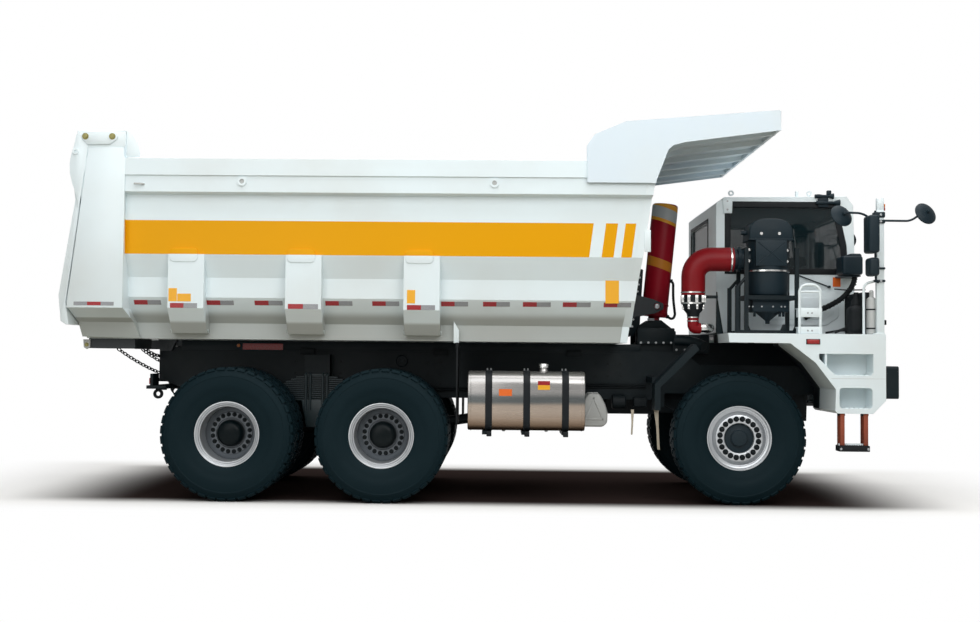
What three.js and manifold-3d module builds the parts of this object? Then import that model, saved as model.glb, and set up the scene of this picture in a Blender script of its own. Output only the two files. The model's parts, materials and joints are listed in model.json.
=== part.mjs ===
// Six-wheel mining dump truck with a tipping bed, twin rear wheels and a cab offset to the left.
// Millimetres. X runs forward from the middle axle, Y to the truck's left, Z up from the ground.
// Pieces of the right side are drawn at negative Y, and the left ones are their mirror image.
import * as THREE from 'three';
import { mergeVertices } from 'three/addons/utils/BufferGeometryUtils.js';
import Module from 'manifold-3d';

const wasm = await Module();
wasm.setup();

// Running gear
const tyreRadius = 746.5;
const tyreHalfWidth = 215;
const beadRadius = 320;
const beadHalfWidth = 130;
const treadHalfWidth = 110;
const tyreSides = 20;
const rimSides = 12;
// A flat of the tread lies on the ground, so its corners stand a little further out.
const treadRadius = tyreRadius / Math.cos(Math.PI / tyreSides);
const rearAxleX = -1723;
const midAxleX = 0;
const frontAxleX = 4010;
const outerTyreY = 1525;
const innerTyreY = 1025;
const frontTyreY = 1235;
const flangeOffset = 165;
const flangeRadius = 368;
const barrelRadius = 316;
const spindleRadius = 70;
const kingpinY = 960;
const tieRodX = frontAxleX - 260;
const tieRodZ = 590;

// Chassis
const railInnerY = 380;
const railOuterY = 460;
const railTopZ = 1720;
const railBottomZ = 1200;
const railRearX = -2790;
const railFrontX = 5450;
const bedHinge = [-2700, 1720];

// Bed: half-section of the side wall, |Y| by Z, from the floor up
const floorZ = 1805;
const floorThickness = 100;
const railTop = 3790;
const sideOuter = [[1500, floorZ], [1500, 1985], [1600, 2080], [1740, 2266], [1740, 2487], [1860, 2740],
  [1860, 3400], [1960, 3422], [1960, 3602], [1980, 3606], [1980, railTop]];
const sideInner = [[1430, floorZ], [1430, 2010], [1535, 2110], [1670, 2285], [1670, 2500], [1790, 2755],
  [1790, railTop]];
const wallThickness = 80;
const wallTopZ = 3600;
const bedRearX = -3390;
const wallFootX = 2737;
const wallLean = 0.1472;
const canopyHalfWidth = 2010;

// Deck, cab and hoist
const deckTop = 1923;
const deckOuterY = 1750;
const cabFloorZ = 1940;
const cabRightY = -650;
const cabLeftY = 1750;
const cabSkin = 60;
const doorGap = 5;
const trunnion = [3214, 2266];
const hoistLean = THREE.MathUtils.degToRad(5.6);
const hoistFoot = 223;
const gap = 0.3;

const finishes = {
  paint: [0xe9eae6, 0.35, 0.1],
  chassis: [0x10181b, 0.6, 0.3],
  rubber: [0x17191b, 0.85, 0.0],
  rim: [0xb9bdc0, 0.35, 0.8],
  aluminium: [0xc9c7c2, 0.25, 0.9],
  castIron: [0x23282b, 0.7, 0.4],
  crimson: [0x8c0f22, 0.3, 0.2],
  silicone: [0xa8142a, 0.45, 0.0],
  chrome: [0xd6d8da, 0.12, 1.0],
  glass: [0x1d2a2e, 0.05, 0.0],
  plastic: [0x1b1e21, 0.55, 0.0],
  fabric: [0x33363b, 0.9, 0.0],
  greySteel: [0x9a9b98, 0.5, 0.5],
};
const materials = Object.fromEntries(Object.entries(finishes).map(([name, [color, roughness, metalness]]) =>
  [name, new THREE.MeshStandardMaterial({ name, color, roughness, metalness })]));

const truck = new THREE.Group();
truck.name = 'mining_dump_truck';

// A closed solid from any closed geometry, with its vertices merged and its faces outward.
function toSolid(geometry) {
  geometry.deleteAttribute('normal');
  geometry.deleteAttribute('uv');
  const merged = mergeVertices(geometry, 1e-3);
  const at = merged.index.array;
  let faces = [];
  for (let i = 0; i < at.length; i += 3) {
    const [a, b, c] = [at[i], at[i + 1], at[i + 2]];
    if (a !== b && b !== c && c !== a) faces.push([a, b, c]);
  }
  const p = merged.attributes.position;
  const corner = (i) => new THREE.Vector3().fromBufferAttribute(p, i);
  const volume = faces.reduce((sum, [a, b, c]) => sum + corner(a).dot(corner(b).cross(corner(c))), 0);
  if (volume < 0) faces = faces.map(([a, b, c]) => [a, c, b]);
  const mesh = new wasm.Mesh({
    numProp: 3,
    vertProperties: Float32Array.from(p.array),
    triVerts: Uint32Array.from(faces.flat()),
  });
  return new wasm.Manifold(mesh);
}

const join = (...solids) => solids.flat().reduce((all, solid) => all.add(solid));
const cut = (solid, ...tools) => tools.flat().reduce((left, tool) => left.subtract(tool), solid);
const mirrored = (solid) => solid.mirror([0, 1, 0]);
const bothSides = (solid) => solid.add(mirrored(solid));

function box([x0, x1], [y0, y1], [z0, z1]) {
  const geometry = new THREE.BoxGeometry(x1 - x0, y1 - y0, z1 - z0);
  return toSolid(geometry.translate((x0 + x1) / 2, (y0 + y1) / 2, (z0 + z1) / 2));
}

// An outline extruded along one axis: (x, z) along Y, (y, z) along X, (x, y) along Z.
function plate(axis, outline, from, to) {
  const shape = outline instanceof THREE.Shape ? outline
    : new THREE.Shape(outline.map(([u, v]) => new THREE.Vector2(u, v)));
  const geometry = new THREE.ExtrudeGeometry(shape, { depth: to - from, bevelEnabled: false, curveSegments: 3 });
  if (axis === 'y') geometry.rotateX(Math.PI / 2).translate(0, to, 0);
  if (axis === 'x') {
    const turn = new THREE.Matrix4().set(0, 0, 1, from, 1, 0, 0, 0, 0, 1, 0, 0, 0, 0, 0, 1);
    geometry.applyMatrix4(turn);
  }
  if (axis === 'z') geometry.translate(0, 0, from);
  return toSolid(geometry);
}

// A rectangle with round corners, for tanks, recesses and windows.
function roundedOutline([u0, u1], [v0, v1], r) {
  const shape = new THREE.Shape();
  shape.moveTo(u0 + r, v0).lineTo(u1 - r, v0).absarc(u1 - r, v0 + r, r, -Math.PI / 2, 0);
  shape.lineTo(u1, v1 - r).absarc(u1 - r, v1 - r, r, 0, Math.PI / 2);
  shape.lineTo(u0 + r, v1).absarc(u0 + r, v1 - r, r, Math.PI / 2, Math.PI);
  shape.lineTo(u0, v0 + r).absarc(u0 + r, v0 + r, r, Math.PI, 1.5 * Math.PI);
  return shape;
}

// A round bar between two points.
function bar(from, to, radius, sides = 12) {
  const a = new THREE.Vector3(...from);
  const b = new THREE.Vector3(...to);
  const along = b.clone().sub(a);
  const geometry = new THREE.CylinderGeometry(radius, radius, along.length(), sides);
  const up = new THREE.Vector3(0, 1, 0);
  geometry.applyQuaternion(new THREE.Quaternion().setFromUnitVectors(up, along.normalize()));
  const middle = a.add(b).multiplyScalar(0.5);
  return toSolid(geometry.translate(middle.x, middle.y, middle.z));
}

// A bent bar: straight lengths that run a little past each bend into the next one.
function bentBar(points, radius, sides = 6) {
  const lengths = points.slice(1).map((point, i) => {
    const from = new THREE.Vector3(...points[i]);
    const to = new THREE.Vector3(...point);
    const past = to.clone().sub(from).setLength(radius * 0.6);
    if (i > 0) from.sub(past);
    if (i < points.length - 2) to.add(past);
    return bar(from.toArray(), to.toArray(), radius, sides);
  });
  return join(lengths);
}

// A smooth pipe swept along a curve.
function pipe(curve, radius, steps, sides = 12) {
  const ring = Array.from({ length: sides }, (_, i) => new THREE.Vector2(
    radius * Math.cos((2 * Math.PI * i) / sides), radius * Math.sin((2 * Math.PI * i) / sides)));
  return toSolid(new THREE.ExtrudeGeometry(new THREE.Shape(ring), { steps, extrudePath: curve }));
}

// A body turned about the Y axis from a profile of (radius, y).
function turned(profile, sides) {
  const points = profile.map(([r, y]) => new THREE.Vector2(r, y));
  return toSolid(new THREE.LatheGeometry(points, sides, Math.PI / sides));
}

function addPiece(name, solid, finish) {
  const { vertProperties, triVerts } = solid.getMesh();
  const geometry = new THREE.BufferGeometry();
  geometry.setAttribute('position', new THREE.BufferAttribute(Float32Array.from(vertProperties), 3));
  geometry.setIndex(new THREE.BufferAttribute(Uint32Array.from(triVerts), 1));
  geometry.computeVertexNormals();
  const mesh = new THREE.Mesh(geometry, materials[finish]);
  mesh.name = name;
  truck.add(mesh);
}

// The same piece on both sides, drawn at the right.
function addPair(name, solid, finish) {
  addPiece(`${name}_right`, solid, finish);
  addPiece(`${name}_left`, mirrored(solid), finish);
}

// Wheels. Profiles are (radius, distance out from the middle of the truck).
function tyreProfile(middle) {
  const half = [[beadRadius, beadHalfWidth], [600, tyreHalfWidth], [738, 185], [treadRadius, treadHalfWidth]];
  const outer = half.map(([r, y]) => [r, middle + y]);
  const inner = half.map(([r, y]) => [r, middle - y]).reverse();
  const loop = [...outer, ...inner];
  return [...loop, loop[0]];
}

function wheelAt(x, solid) {
  return mirrored(solid).translate([x, 0, tyreRadius]);
}

function dualTyres() {
  const between = [innerTyreY + beadHalfWidth, outerTyreY - beadHalfWidth];
  const spacers = [[-400, -380], [380, 400]].map((z) => box([-40, 40], between, z));
  return join(turned(tyreProfile(innerTyreY), tyreSides), turned(tyreProfile(outerTyreY), tyreSides), spacers);
}

function dualRims() {
  const out = outerTyreY + flangeOffset;
  const back = innerTyreY - flangeOffset;
  const disc = 1400;
  return turned([[0, 1566], [95, 1560], [140, 1530], [150, disc], [296, disc], [300, out - 50], [345, out],
    [flangeRadius, out], [flangeRadius, out - 13], [barrelRadius, out - 14], [barrelRadius, back + 14],
    [flangeRadius, back + 13], [flangeRadius, back], [300, back], [300, disc - 30], [150, disc - 30], [150, 835],
    [spindleRadius + 6, 835], [spindleRadius + 6, 1490], [0, 1490]], rimSides);
}

function frontRim() {
  const out = frontTyreY + flangeOffset;
  const back = frontTyreY - flangeOffset;
  return turned([[0, 1398], [85, 1396], [100, 1350], [165, 1350], [175, 1386], [215, 1386], [296, 1340],
    [300, out - 30], [345, out], [flangeRadius, out], [flangeRadius, out - 13], [barrelRadius, out - 14],
    [barrelRadius, back + 14], [flangeRadius, back + 13], [flangeRadius, back], [300, back],
    [300, 1310], [130, 1310], [130, 1110], [66, 1110], [66, 1328], [0, 1328]], rimSides);
}

function makeWheels() {
  addPair('front_tyre', wheelAt(frontAxleX, turned(tyreProfile(frontTyreY), tyreSides)), 'rubber');
  addPair('front_rim', wheelAt(frontAxleX, frontRim()), 'rim');
  for (const [name, x] of [['mid', midAxleX], ['rear', rearAxleX]]) {
    addPair(`${name}_tyres`, wheelAt(x, dualTyres()), 'rubber');
    addPair(`${name}_rims`, wheelAt(x, dualRims()), 'rim');
  }
}

// Driven axle: banjo housing with a spindle into each hub.
function axleHousing(x) {
  const tube = bar([x, -800, tyreRadius], [x, 800, tyreRadius], 130, 12);
  const spindle = bar([x, -1480, tyreRadius], [x, 1480, tyreRadius], spindleRadius, rimSides);
  const banjo = toSolid(new THREE.SphereGeometry(290, 12, 8).scale(1, 0.75, 1).translate(x, 0, tyreRadius));
  return join(tube, spindle, banjo);
}

function makeAxles() {
  const shaft = bar([midAxleX - 200, 0, tyreRadius], [rearAxleX + 330, 0, tyreRadius], 55);
  addPiece('mid_axle', join(axleHousing(midAxleX), shaft), 'castIron');
  addPiece('rear_axle', axleHousing(rearAxleX), 'castIron');
  makeFrontAxle();
  makeTandemSuspension();
}

function leafPack(x0, x1, eyeZ, seatZ, thickness) {
  const middle = (x0 + x1) / 2;
  const top = new THREE.QuadraticBezierCurve(new THREE.Vector2(x0, eyeZ),
    new THREE.Vector2(middle, 2 * seatZ - eyeZ), new THREE.Vector2(x1, eyeZ)).getPoints(8);
  const low = [[x1 - 30, eyeZ - 25], [middle + 120, seatZ - thickness], [middle - 120, seatZ - thickness],
    [x0 + 30, eyeZ - 25]];
  return [...top.map(({ x, y }) => [x, y]), ...low];
}

function makeFrontAxle() {
  const beam = box([frontAxleX - 60, frontAxleX + 60], [-540, 540], [640, 745]);
  const shoulder = plate('x', [[-900, 690], [-900, 800], [-500, 800], [-400, 745], [-400, 640], [-500, 640]],
    frontAxleX - 60, frontAxleX + 60);
  const boss = bar([frontAxleX, -kingpinY, 680], [frontAxleX, -kingpinY, 810], 65, 16);
  const neck = box([frontAxleX - 50, frontAxleX + 50], [-kingpinY, -880], [695, 795]);
  const spring = plate('y', leafPack(3290, 4730, 1080, 900, 100), -450, -385);
  const seat = box([frontAxleX - 80, frontAxleX + 80], [-470, -370], [740, 830]);
  addPiece('front_axle', join(beam, bothSides(join(shoulder, boss, neck, spring, seat))), 'castIron');
}

function makeTandemSuspension() {
  const middle = (rearAxleX + midAxleX) / 2;
  const leaves = plate('y', [[middle - 930, 1010], [middle - 930, 1060], [middle - 400, 1290], [middle, 1370],
    [middle + 400, 1290], [middle + 930, 1060], [middle + 930, 1010], [middle + 450, 1080], [middle, 1110],
    [middle - 450, 1080]], -640, -520);
  const saddle = plate('y', [[middle - 180, 1110], [middle - 120, 780], [middle + 120, 780], [middle + 180, 1110],
    [middle + 150, 1400], [middle - 150, 1400]], -655, -505);
  const crossTube = bar([middle, -650, 930], [middle, 650, 930], 95, 12);
  addPiece('tandem_suspension', join(crossTube, bothSides(join(leaves, saddle))), 'castIron');
}

// Steering: knuckles turn on the kingpins and a tie rod joins their arms behind the axle.
function makeSteering() {
  const at = (r, z0, z1) => bar([frontAxleX, -kingpinY, z0], [frontAxleX, -kingpinY, z1], r, 16);
  const cheek = box([frontAxleX - 60, frontAxleX + 60], [-1085, -1040], [616, 875]);
  const ears = [at(70, 616, 672), at(70, 818, 875)];
  const webs = [[616, 672], [818, 875]].map((z) => box([frontAxleX - 60, frontAxleX + 60], [-1050, -kingpinY], z));
  const spindle = bar([frontAxleX, -1060, tyreRadius], [frontAxleX, -1318, tyreRadius], 60, rimSides);
  const arm = box([tieRodX - 35, frontAxleX], [-kingpinY - 30, -kingpinY + 30], [627, 665]);
  addPair('knuckle', join(cheek, ears, webs, spindle, arm), 'castIron');
  const eye = (y) => bar([tieRodX, y, tieRodZ - 28], [tieRodX, y, tieRodZ + 28], 34, 12);
  const rod = bar([tieRodX, -kingpinY, tieRodZ], [tieRodX, kingpinY, tieRodZ], 24, 12);
  addPiece('tie_rod', join(rod, eye(-kingpinY), eye(kingpinY)), 'castIron');
}

// Ladder frame with the rear hinge lugs, the tail plate and tow eye, the hoist mount, the tank
// brackets and the guards behind the front wheels.
function tankBracket(x) {
  return plate('x', [[-railOuterY + 10, 1440], [-1040, 1440], [-1040, 812], [-1600, 812], [-1600, 770],
    [-980, 770], [-railOuterY + 10, 1240]], x - 32, x + 32);
}

function frontGuard() {
  const brace = plate('y', [[3520, 1800], [3560, 1740], [3125, 1310], [3125, 1050], [3060, 1050], [3060, 1345],
    [3500, 1800]], -1400, -1100);
  const carrier = box([3060, 3125], [-1105, -railOuterY + 10], [1350, 1420]);
  return join(brace, carrier);
}

function makeFrame() {
  const rail = plate('y', [[railRearX, 1690], [railRearX + 30, railTopZ - 20], [-2600, railTopZ], [3500, railTopZ],
    [3700, 1560], [railFrontX, 1560], [railFrontX, railBottomZ + 20], [3300, railBottomZ + 20],
    [3100, railBottomZ - 60], [-2300, railBottomZ - 60], [railRearX, 1340]], -railOuterY, -railInnerY);
  const lug = bar([bedHinge[0], -railOuterY, bedHinge[1] - 5], [bedHinge[0], -railInnerY, bedHinge[1] - 5], 68, 16);
  const hole = bar([bedHinge[0], -500, bedHinge[1]], [bedHinge[0], -340, bedHinge[1]], 36, 16);
  const side = cut(join(rail, lug), hole);
  const cross = (x, z0, z1, length = 70) => box([x, x + length], [-railInnerY - 10, railInnerY + 10], [z0, z1]);
  const tail = box([railRearX, railRearX + 50], [-railInnerY - 10, railInnerY + 10], [1340, 1640]);
  const towBeam = box([-2809, -2300], [-430, 430], [1300, 1342]);
  const towEye = cut(plate('y', [[-2790, 1310], [-2750, 1180], [-2690, 1105], [-2630, 1130], [-2520, 1310]], -22, 22),
    bar([-2690, -40, 1172], [-2690, 40, 1172], 34, 12));
  const ears = bothSides(plate('y', [[2994, 1590], [2994, 2020], [3120, 2100], [3270, 2100], [3448, 1960],
    [3448, 1590]], -185, -150));
  const mountBox = bothSides(box([2994, 3448], [-400, -184], [1660, 1838]));
  const mountFoot = box([2994, 3448], [-200, 200], [1590, 1700]);
  const members = [cross(-1700, 1450, 1650), cross(-900, 1450, 1650, 90), cross(200, 1450, 1650),
    cross(1600, 1450, 1650), cross(2994, 1500, 1650, 454), cross(5380, 1260, 1500)];
  const hangers = [3220, 4740].map((x) => box([x, x + 60], [-450, -390], [1050, railBottomZ + 60]));
  const brackets = [1150, 1590, 2040].map(tankBracket);
  const saddleFeet = box([-1010, -710], [-640, -railOuterY + 10], [1405, 1640]);
  addPiece('frame', join(bothSides(join(side, hangers, brackets, frontGuard(), saddleFeet)), tail, towBeam, towEye,
    ears, mountBox, mountFoot, members), 'chassis');
}

function makeDriveline() {
  const block = plate('x', [[-300, 900], [300, 900], [340, 1200], [340, 1500], [250, 1830], [-250, 1830],
    [-340, 1500], [-340, 1200]], 3600, 5000);
  addPiece('engine_block', block, 'castIron');
  const bell = plate('x', [[-230, 980], [230, 980], [270, 1150], [230, 1400], [-230, 1400], [-270, 1150]], 3180, 3599);
  const gearbox = plate('x', [[-190, 960], [190, 960], [220, 1150], [190, 1320], [-190, 1320], [-220, 1150]],
    2600, 3185);
  const shaft = bar([2620, 0, 1130], [330, 0, 790], 62);
  addPiece('gearbox_and_shaft', join(bell, gearbox, shaft), 'castIron');
}

// Side tanks: fuel on the right, hydraulic oil on the left, and a small pressed tank behind the fuel one.
function makeTanks() {
  const fuel = plate('x', roundedOutline([-1700, -1041], [818, 1477], 150), 956, 2260);
  const neck = bar([1760, -1480, 1460], [1760, -1480, 1540], 55, 16);
  addPiece('fuel_tank', join(fuel, neck), 'aluminium');
  const oil = plate('x', roundedOutline([1041, 1650], [818, 1477], 60), 1080, 2110);
  addPiece('hydraulic_tank', join(oil, bar([1300, 1350, 1470], [1300, 1350, 1530], 60, 12)), 'chassis');
  addPiece('urea_tank', plate('x', roundedOutline([-960, -railOuterY - 40], [861, 1230], 60), 2300, 2560), 'greySteel');
}

// Bed shell
const wallFaceX = (z) => wallFootX + (z - 1812) * wallLean;

function wallStrip(back, front, z0, z1) {
  return [[wallFaceX(z0) - back, z0], [wallFaceX(z0) - front, z0], [wallFaceX(z1) - front, z1],
    [wallFaceX(z1) - back, z1]];
}

function sidePillar() {
  const outline = [[-3384, 4091], [-2838, 4094], [-2868, 3927], [-2842, 2133], [-2746, floorZ], [-3400, floorZ + 15],
    [-3464, 2194], [-3321, 3268]];
  const section = [[-1430, floorZ], [-1560, floorZ], [-1640, 1985], [-1970, 2139], [-1970, 4100], [-1790, 4100],
    [-1790, 2755], [-1670, 2500], [-1670, 2285], [-1535, 2110], [-1430, 2010]];
  return plate('y', outline, -1990, -1400).intersect(plate('x', section, -3500, -2700));
}

function sideRib(x) {
  const section = [[-1480, 1867], [-1625, 1867], [-1875, 2141], [-1875, 2744], [-1810, 2744], [-1700, 2490],
    [-1700, 2300], [-1560, 2100]];
  return plate('x', section, x - 200, x + 200);
}

function makeBed() {
  const section = [...sideOuter, ...sideInner.slice().reverse()].map(([y, z]) => [-y, z]);
  const length = plate('y', [[-3330, floorZ - 5], [wallFaceX(floorZ - 5) - wallThickness - gap, floorZ - 5],
    [wallFaceX(3800) - wallThickness - gap, 3800], [-3290, 3800]], -2000, -1400);
  const panel = plate('x', section, -3400, 3100).intersect(length);
  const ribs = [-2170, -866, 442].map(sideRib);
  addPair('bed_side', join(panel, sidePillar(), ribs), 'paint');

  const floorFrontX = wallFaceX(floorZ) - wallThickness - 2;
  const inner = sideInner[0][0] - gap;
  const deckPlate = box([bedRearX, floorFrontX], [-inner, inner], [floorZ, floorZ + floorThickness]);
  const beam = box([-2600, 2640], [-railOuterY, -railInnerY], [1732, floorZ + 10]);
  const lug = plate('y', [[-2790, floorZ + 10], [-2770, 1670], [-2630, 1670], [-2560, floorZ + 10]], -540, -470);
  const pin = bar([bedHinge[0], -545, bedHinge[1]], [bedHinge[0], -370, bedHinge[1]], 30, 16);
  const rearBox = box([-3380, -2850], [-1380, -620], [1690, floorZ + 10]);
  addPiece('bed_floor', join(deckPlate, bothSides(join(beam, lug, pin, rearBox))), 'paint');

  makeBedFront();
  makeCanopy();
  makeTailgate();
}

function makeBedFront() {
  const silhouette = [...sideOuter.map(([y, z]) => [-y, z]), ...sideOuter.slice().reverse()];
  const wall = plate('y', wallStrip(wallThickness, 0, floorZ, wallTopZ), -1980, 1980)
    .intersect(plate('x', silhouette, 2600, 3100));
  const bracket = plate('y', [[wallFaceX(1990) - 10, 1990], [wallFaceX(2440) - 10, 2440], [3170, 2350],
    [3290, 2300], [3290, 2232], [3190, 2180], [2960, 2140]], -245, -195);
  const hole = bar([trunnion[0], -260, trunnion[1]], [trunnion[0], -180, trunnion[1]], 40, 16);
  const ribs = [-1100, -550, 550, 1100].map((y) => plate('y', wallStrip(10, -50, 1990, 3400), y - 60, y + 60));
  addPiece('bed_front_wall', join(wall, bothSides(cut(bracket, hole)), ribs), 'paint');
}

function makeCanopy() {
  const cheek = plate('y', [[2249, 3791], [2246, 3958], [2330, 4080], [2672, 4225], [4343, 4356], [4360, 4136],
    [3307, 3997], [3190, 3965], [3133, 3919], [wallFaceX(3546), 3546], [wallFaceX(3546) - 40, 3546],
    [wallFaceX(3791) - 60, 3791]], -canopyHalfWidth, -1980 - gap);
  const doubler = box([2249, 3003], [-canopyHalfWidth, -1980 - gap], [3550, 3795]);
  const under = [[wallFaceX(3546), 3546], [3133, 3919], [3307, 3997], [4360, 4136]];
  const raised = (dz, dx) => under.map(([x, z]) => [x - dx, z + dz]);
  const sheet = plate('y', [...raised(50, 25), ...raised(85, 55).reverse()], -1990, 1990);
  const rib = (y) => plate('y', [...raised(0, 0), ...raised(60, 35).reverse()], y - 30, y + 30);
  const ribs = [-1650, -990, -330, 330, 990, 1650].map(rib);
  const lip = box([4330, 4360], [-1990, 1990], [4140, 4352]);
  const upstand = plate('y', [[2249, 3791], [2246, 3958], [2290, 3958], [2290, 3791]], -1990, -1900);
  const trim = box([0, 6000], [-3000, 3000], [wallTopZ + gap, 5000]);
  const roof = join(sheet, ribs, lip, bothSides(upstand)).intersect(trim);
  const sill = box([2249, 2950], [-1990, -1900], [railTop + gap, railTop + 50]);
  addPiece('canopy', join(roof, bothSides(join(cheek, doubler, sill))), 'paint');
}

function makeTailgate() {
  const panel = plate('y', [[-3440, 3860], [-3400, 3860], [-3345, 3268], [-3482, 2194], [-3441, 1947], [-3475, 1947],
    [-3541, 1986], [-3584, 2241], [-3500, 3500]], -1950, 1950);
  const ear = plate('y', [[-3430, 4100], [-3300, 4100], [-3290, 3990], [-3390, 3840], [-3430, 3800]], -1785, -1735);
  addPiece('tailgate', join(panel, bothSides(ear)), 'paint');
}

// Telescopic hoist. Distances run along its axis from the trunnion, up positive.
function hoistPoint(distance, y = 0) {
  return [trunnion[0] + distance * Math.sin(hoistLean), y, trunnion[1] + distance * Math.cos(hoistLean)];
}

const hoistTube = (from, to, radius) => bar(hoistPoint(from), hoistPoint(to), radius, 20);

function makeHoist() {
  const shell = cut(hoistTube(-118, 1262, 157.5), hoistTube(-200, 1236, 148));
  const rod = hoistTube(-78, 1240, 66);
  const pin = (side) => bar([trunnion[0], side * 150, trunnion[1]], [trunnion[0], side * 240, trunnion[1]], 35, 16);
  addPiece('hoist_cover', join(shell, rod, pin(-1), pin(1)), 'crimson');
  for (const [stage, outer, inner, low] of [[4, 85, 72, -84], [3, 103, 91, -90], [2, 121, 109, -96]]) {
    addPiece(`hoist_stage_${stage}`, cut(hoistTube(low, 1215, outer), hoistTube(low - 50, 1260, inner)), 'chrome');
  }
  const tube = cut(hoistTube(-102, 1215, 142), hoistTube(-98, 1260, 127));
  const [footX, , footZ] = hoistPoint(-hoistFoot);
  const eye = bar([footX, -140, footZ], [footX, 140, footZ], 80, 16);
  const stalk = hoistTube(-hoistFoot, -100, 70);
  addPiece('hoist_stage_1', join(tube, eye, stalk), 'crimson');
}

// Decks beside the cab, with the wheel arch, two step recesses and the hanging step.
const deckFrontX = 5554;

function deckBody() {
  const silhouette = [[3826, deckTop], [3838, 1820], [4508, 1816], [4785, 1604], [5006, 1311], [4998, 1077],
    [5023, 1050], [5412, 1049], [deckFrontX, 1196], [deckFrontX, deckTop]];
  const block = plate('y', silhouette, -deckOuterY, cabRightY - 5);
  const rearHollow = box([3860, 4530], [-deckOuterY + 40, 0], [1700, deckTop - 40]);
  const frontHollow = plate('y', [[4520, deckTop - 40], [5514, deckTop - 40], [5514, 1212], [5396, 1089], [5040, 1089],
    [5048, 1325], [4815, 1640], [4520, 1862]], -1420, 0);
  const upper = plate('y', [[4823, 1704], [5415, 1704], [5415, 1500], [5385, 1469], [5000, 1469], [4823, 1650]],
    -1800, -1460);
  const lower = plate('y', roundedOutline([5045, 5405], [1106, 1331], 40), -1800, -1460);
  const web = box([4893, 4913], [-1600, -1450], [1450, 1720]);
  const strap = (x) => box([x, x + 45], [-1690, -1660], [660, 1060]);
  const tread = box([5048, 5374], [-1740, -1560], [637, 694]);
  const ribbon = box([5048, 5374], [-1690, -1660], [690, 720]);
  return join(cut(block, rearHollow, frontHollow, upper, lower), web, strap(5060), strap(5317), tread, ribbon);
}

function makeDecks() {
  addPiece('deck_right', deckBody(), 'paint');
  const underCab = box([3866, 5480], [cabRightY, 670], [1893, deckTop]);
  const fascia = box([5514, deckFrontX], [cabRightY, 670], [1585, deckTop]);
  addPiece('deck_left', join(mirrored(deckBody()), underCab, fascia), 'paint');
  addPiece('front_bumper', plate('x', roundedOutline([-1750, 1750], [1215, 1574], 30), 5560, 5694), 'chassis');
}

function makeLadder() {
  const frame = bentBar([[4616, -1715, deckTop + 5], [4616, -1715, 2425], [4650, -1715, 2465], [4810, -1715, 2465],
    [4844, -1715, 2425], [4844, -1715, deckTop + 5]], 17);
  const tread = (z) => box([4610, 4850], [-1725, -1560], [z, z + 34]);
  addPiece('deck_ladder', join(frame, tread(2126), tread(1950), box([4604, 4856], [-1730, -1700], [1924, 1958])),
    'paint');
}

// Corner posts with rectangular and round mirrors. The left one stands ahead of the door's swing.
function mirrorPost([postX0, postX1], mirrorShift, dishes) {
  const post = box([postX0, postX1], [-1740, -1665], [deckTop + gap, 3430]);
  const dish = ([x, z]) => toSolid(new THREE.CylinderGeometry(122, 70, 50, 10).rotateX(0.2).rotateZ(0.25)
    .translate(x, -1760, z));
  const housing = (z) => plate('y', roundedOutline([5319 + mirrorShift, 5440 + mirrorShift], z, 35), -1960, -1690);
  const reach = [5380 + mirrorShift, (postX0 + postX1) / 2];
  const stay = (z) => bar([reach[0], -1700, z], [reach[1], -1700, z], 14, 6);
  return join(post, dishes.map(dish), housing([2811, 3225]), housing([2558, 2760]), [3150, 2860, 2700].map(stay),
    bentBar([[5500, -1700, 3200], [5546, -1760, 3190], [5900, -1760, 3200], [5985, -1760, 3262]], 13));
}

function makeMirrors() {
  const rearArm = bentBar([[5500, -1700, 3240], [5360, -1760, 3250], [5100, -1760, 3236]], 13);
  const grab = bentBar([[5324, -1700, deckTop + gap], [5324, -1700, 2480], [5480, -1700, 2480]], 14);
  const right = mirrorPost([5460, 5542], 0, [[5995, 3265], [5073, 3234]]);
  addPiece('mirror_post_right', join(right, rearArm, grab), 'paint');
  addPiece('mirror_post_left', mirrored(mirrorPost([5497, 5545], 245, [[5995, 3265]])), 'paint');
}

// Cab shell: side outlines in (x, z)
const cabOutline = [[3865, cabFloorZ], [5490, cabFloorZ], [5490, 2930], [5478, 3466], [5400, 3575], [3955, 3555],
  [3862, 3480]];
const cabInner = [[3925, cabFloorZ], [5430, cabFloorZ], [5430, 2930], [5418, 3440], [5370, 3515], [3985, 3495],
  [3922, 3450]];
const rightWindow = [[3985, 2665], [5412, 2665], [5375, 3000], [5270, 3455], [4025, 3455], [3985, 3340]];
const doorOutline = [[4335, 1990], [5390, 1990], [5390, 3000], [5345, 3470], [4335, 3462]];
const doorWindow = [[4400, 2665], [5325, 2665], [5325, 2990], [5285, 3400], [4400, 3395]];
const rearGlass = [[20, 1480], [2890, 3320]];
const windscreenSpan = [[-520, 1620], [2700, 3380]];
const glassThickness = 10;

const grow = (outline, by) => {
  const middle = outline.reduce(([a, b], [u, v]) => [a + u / outline.length, b + v / outline.length], [0, 0]);
  return outline.map(([u, v]) => [u + Math.sign(u - middle[0]) * by, v + Math.sign(v - middle[1]) * by]);
};

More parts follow.
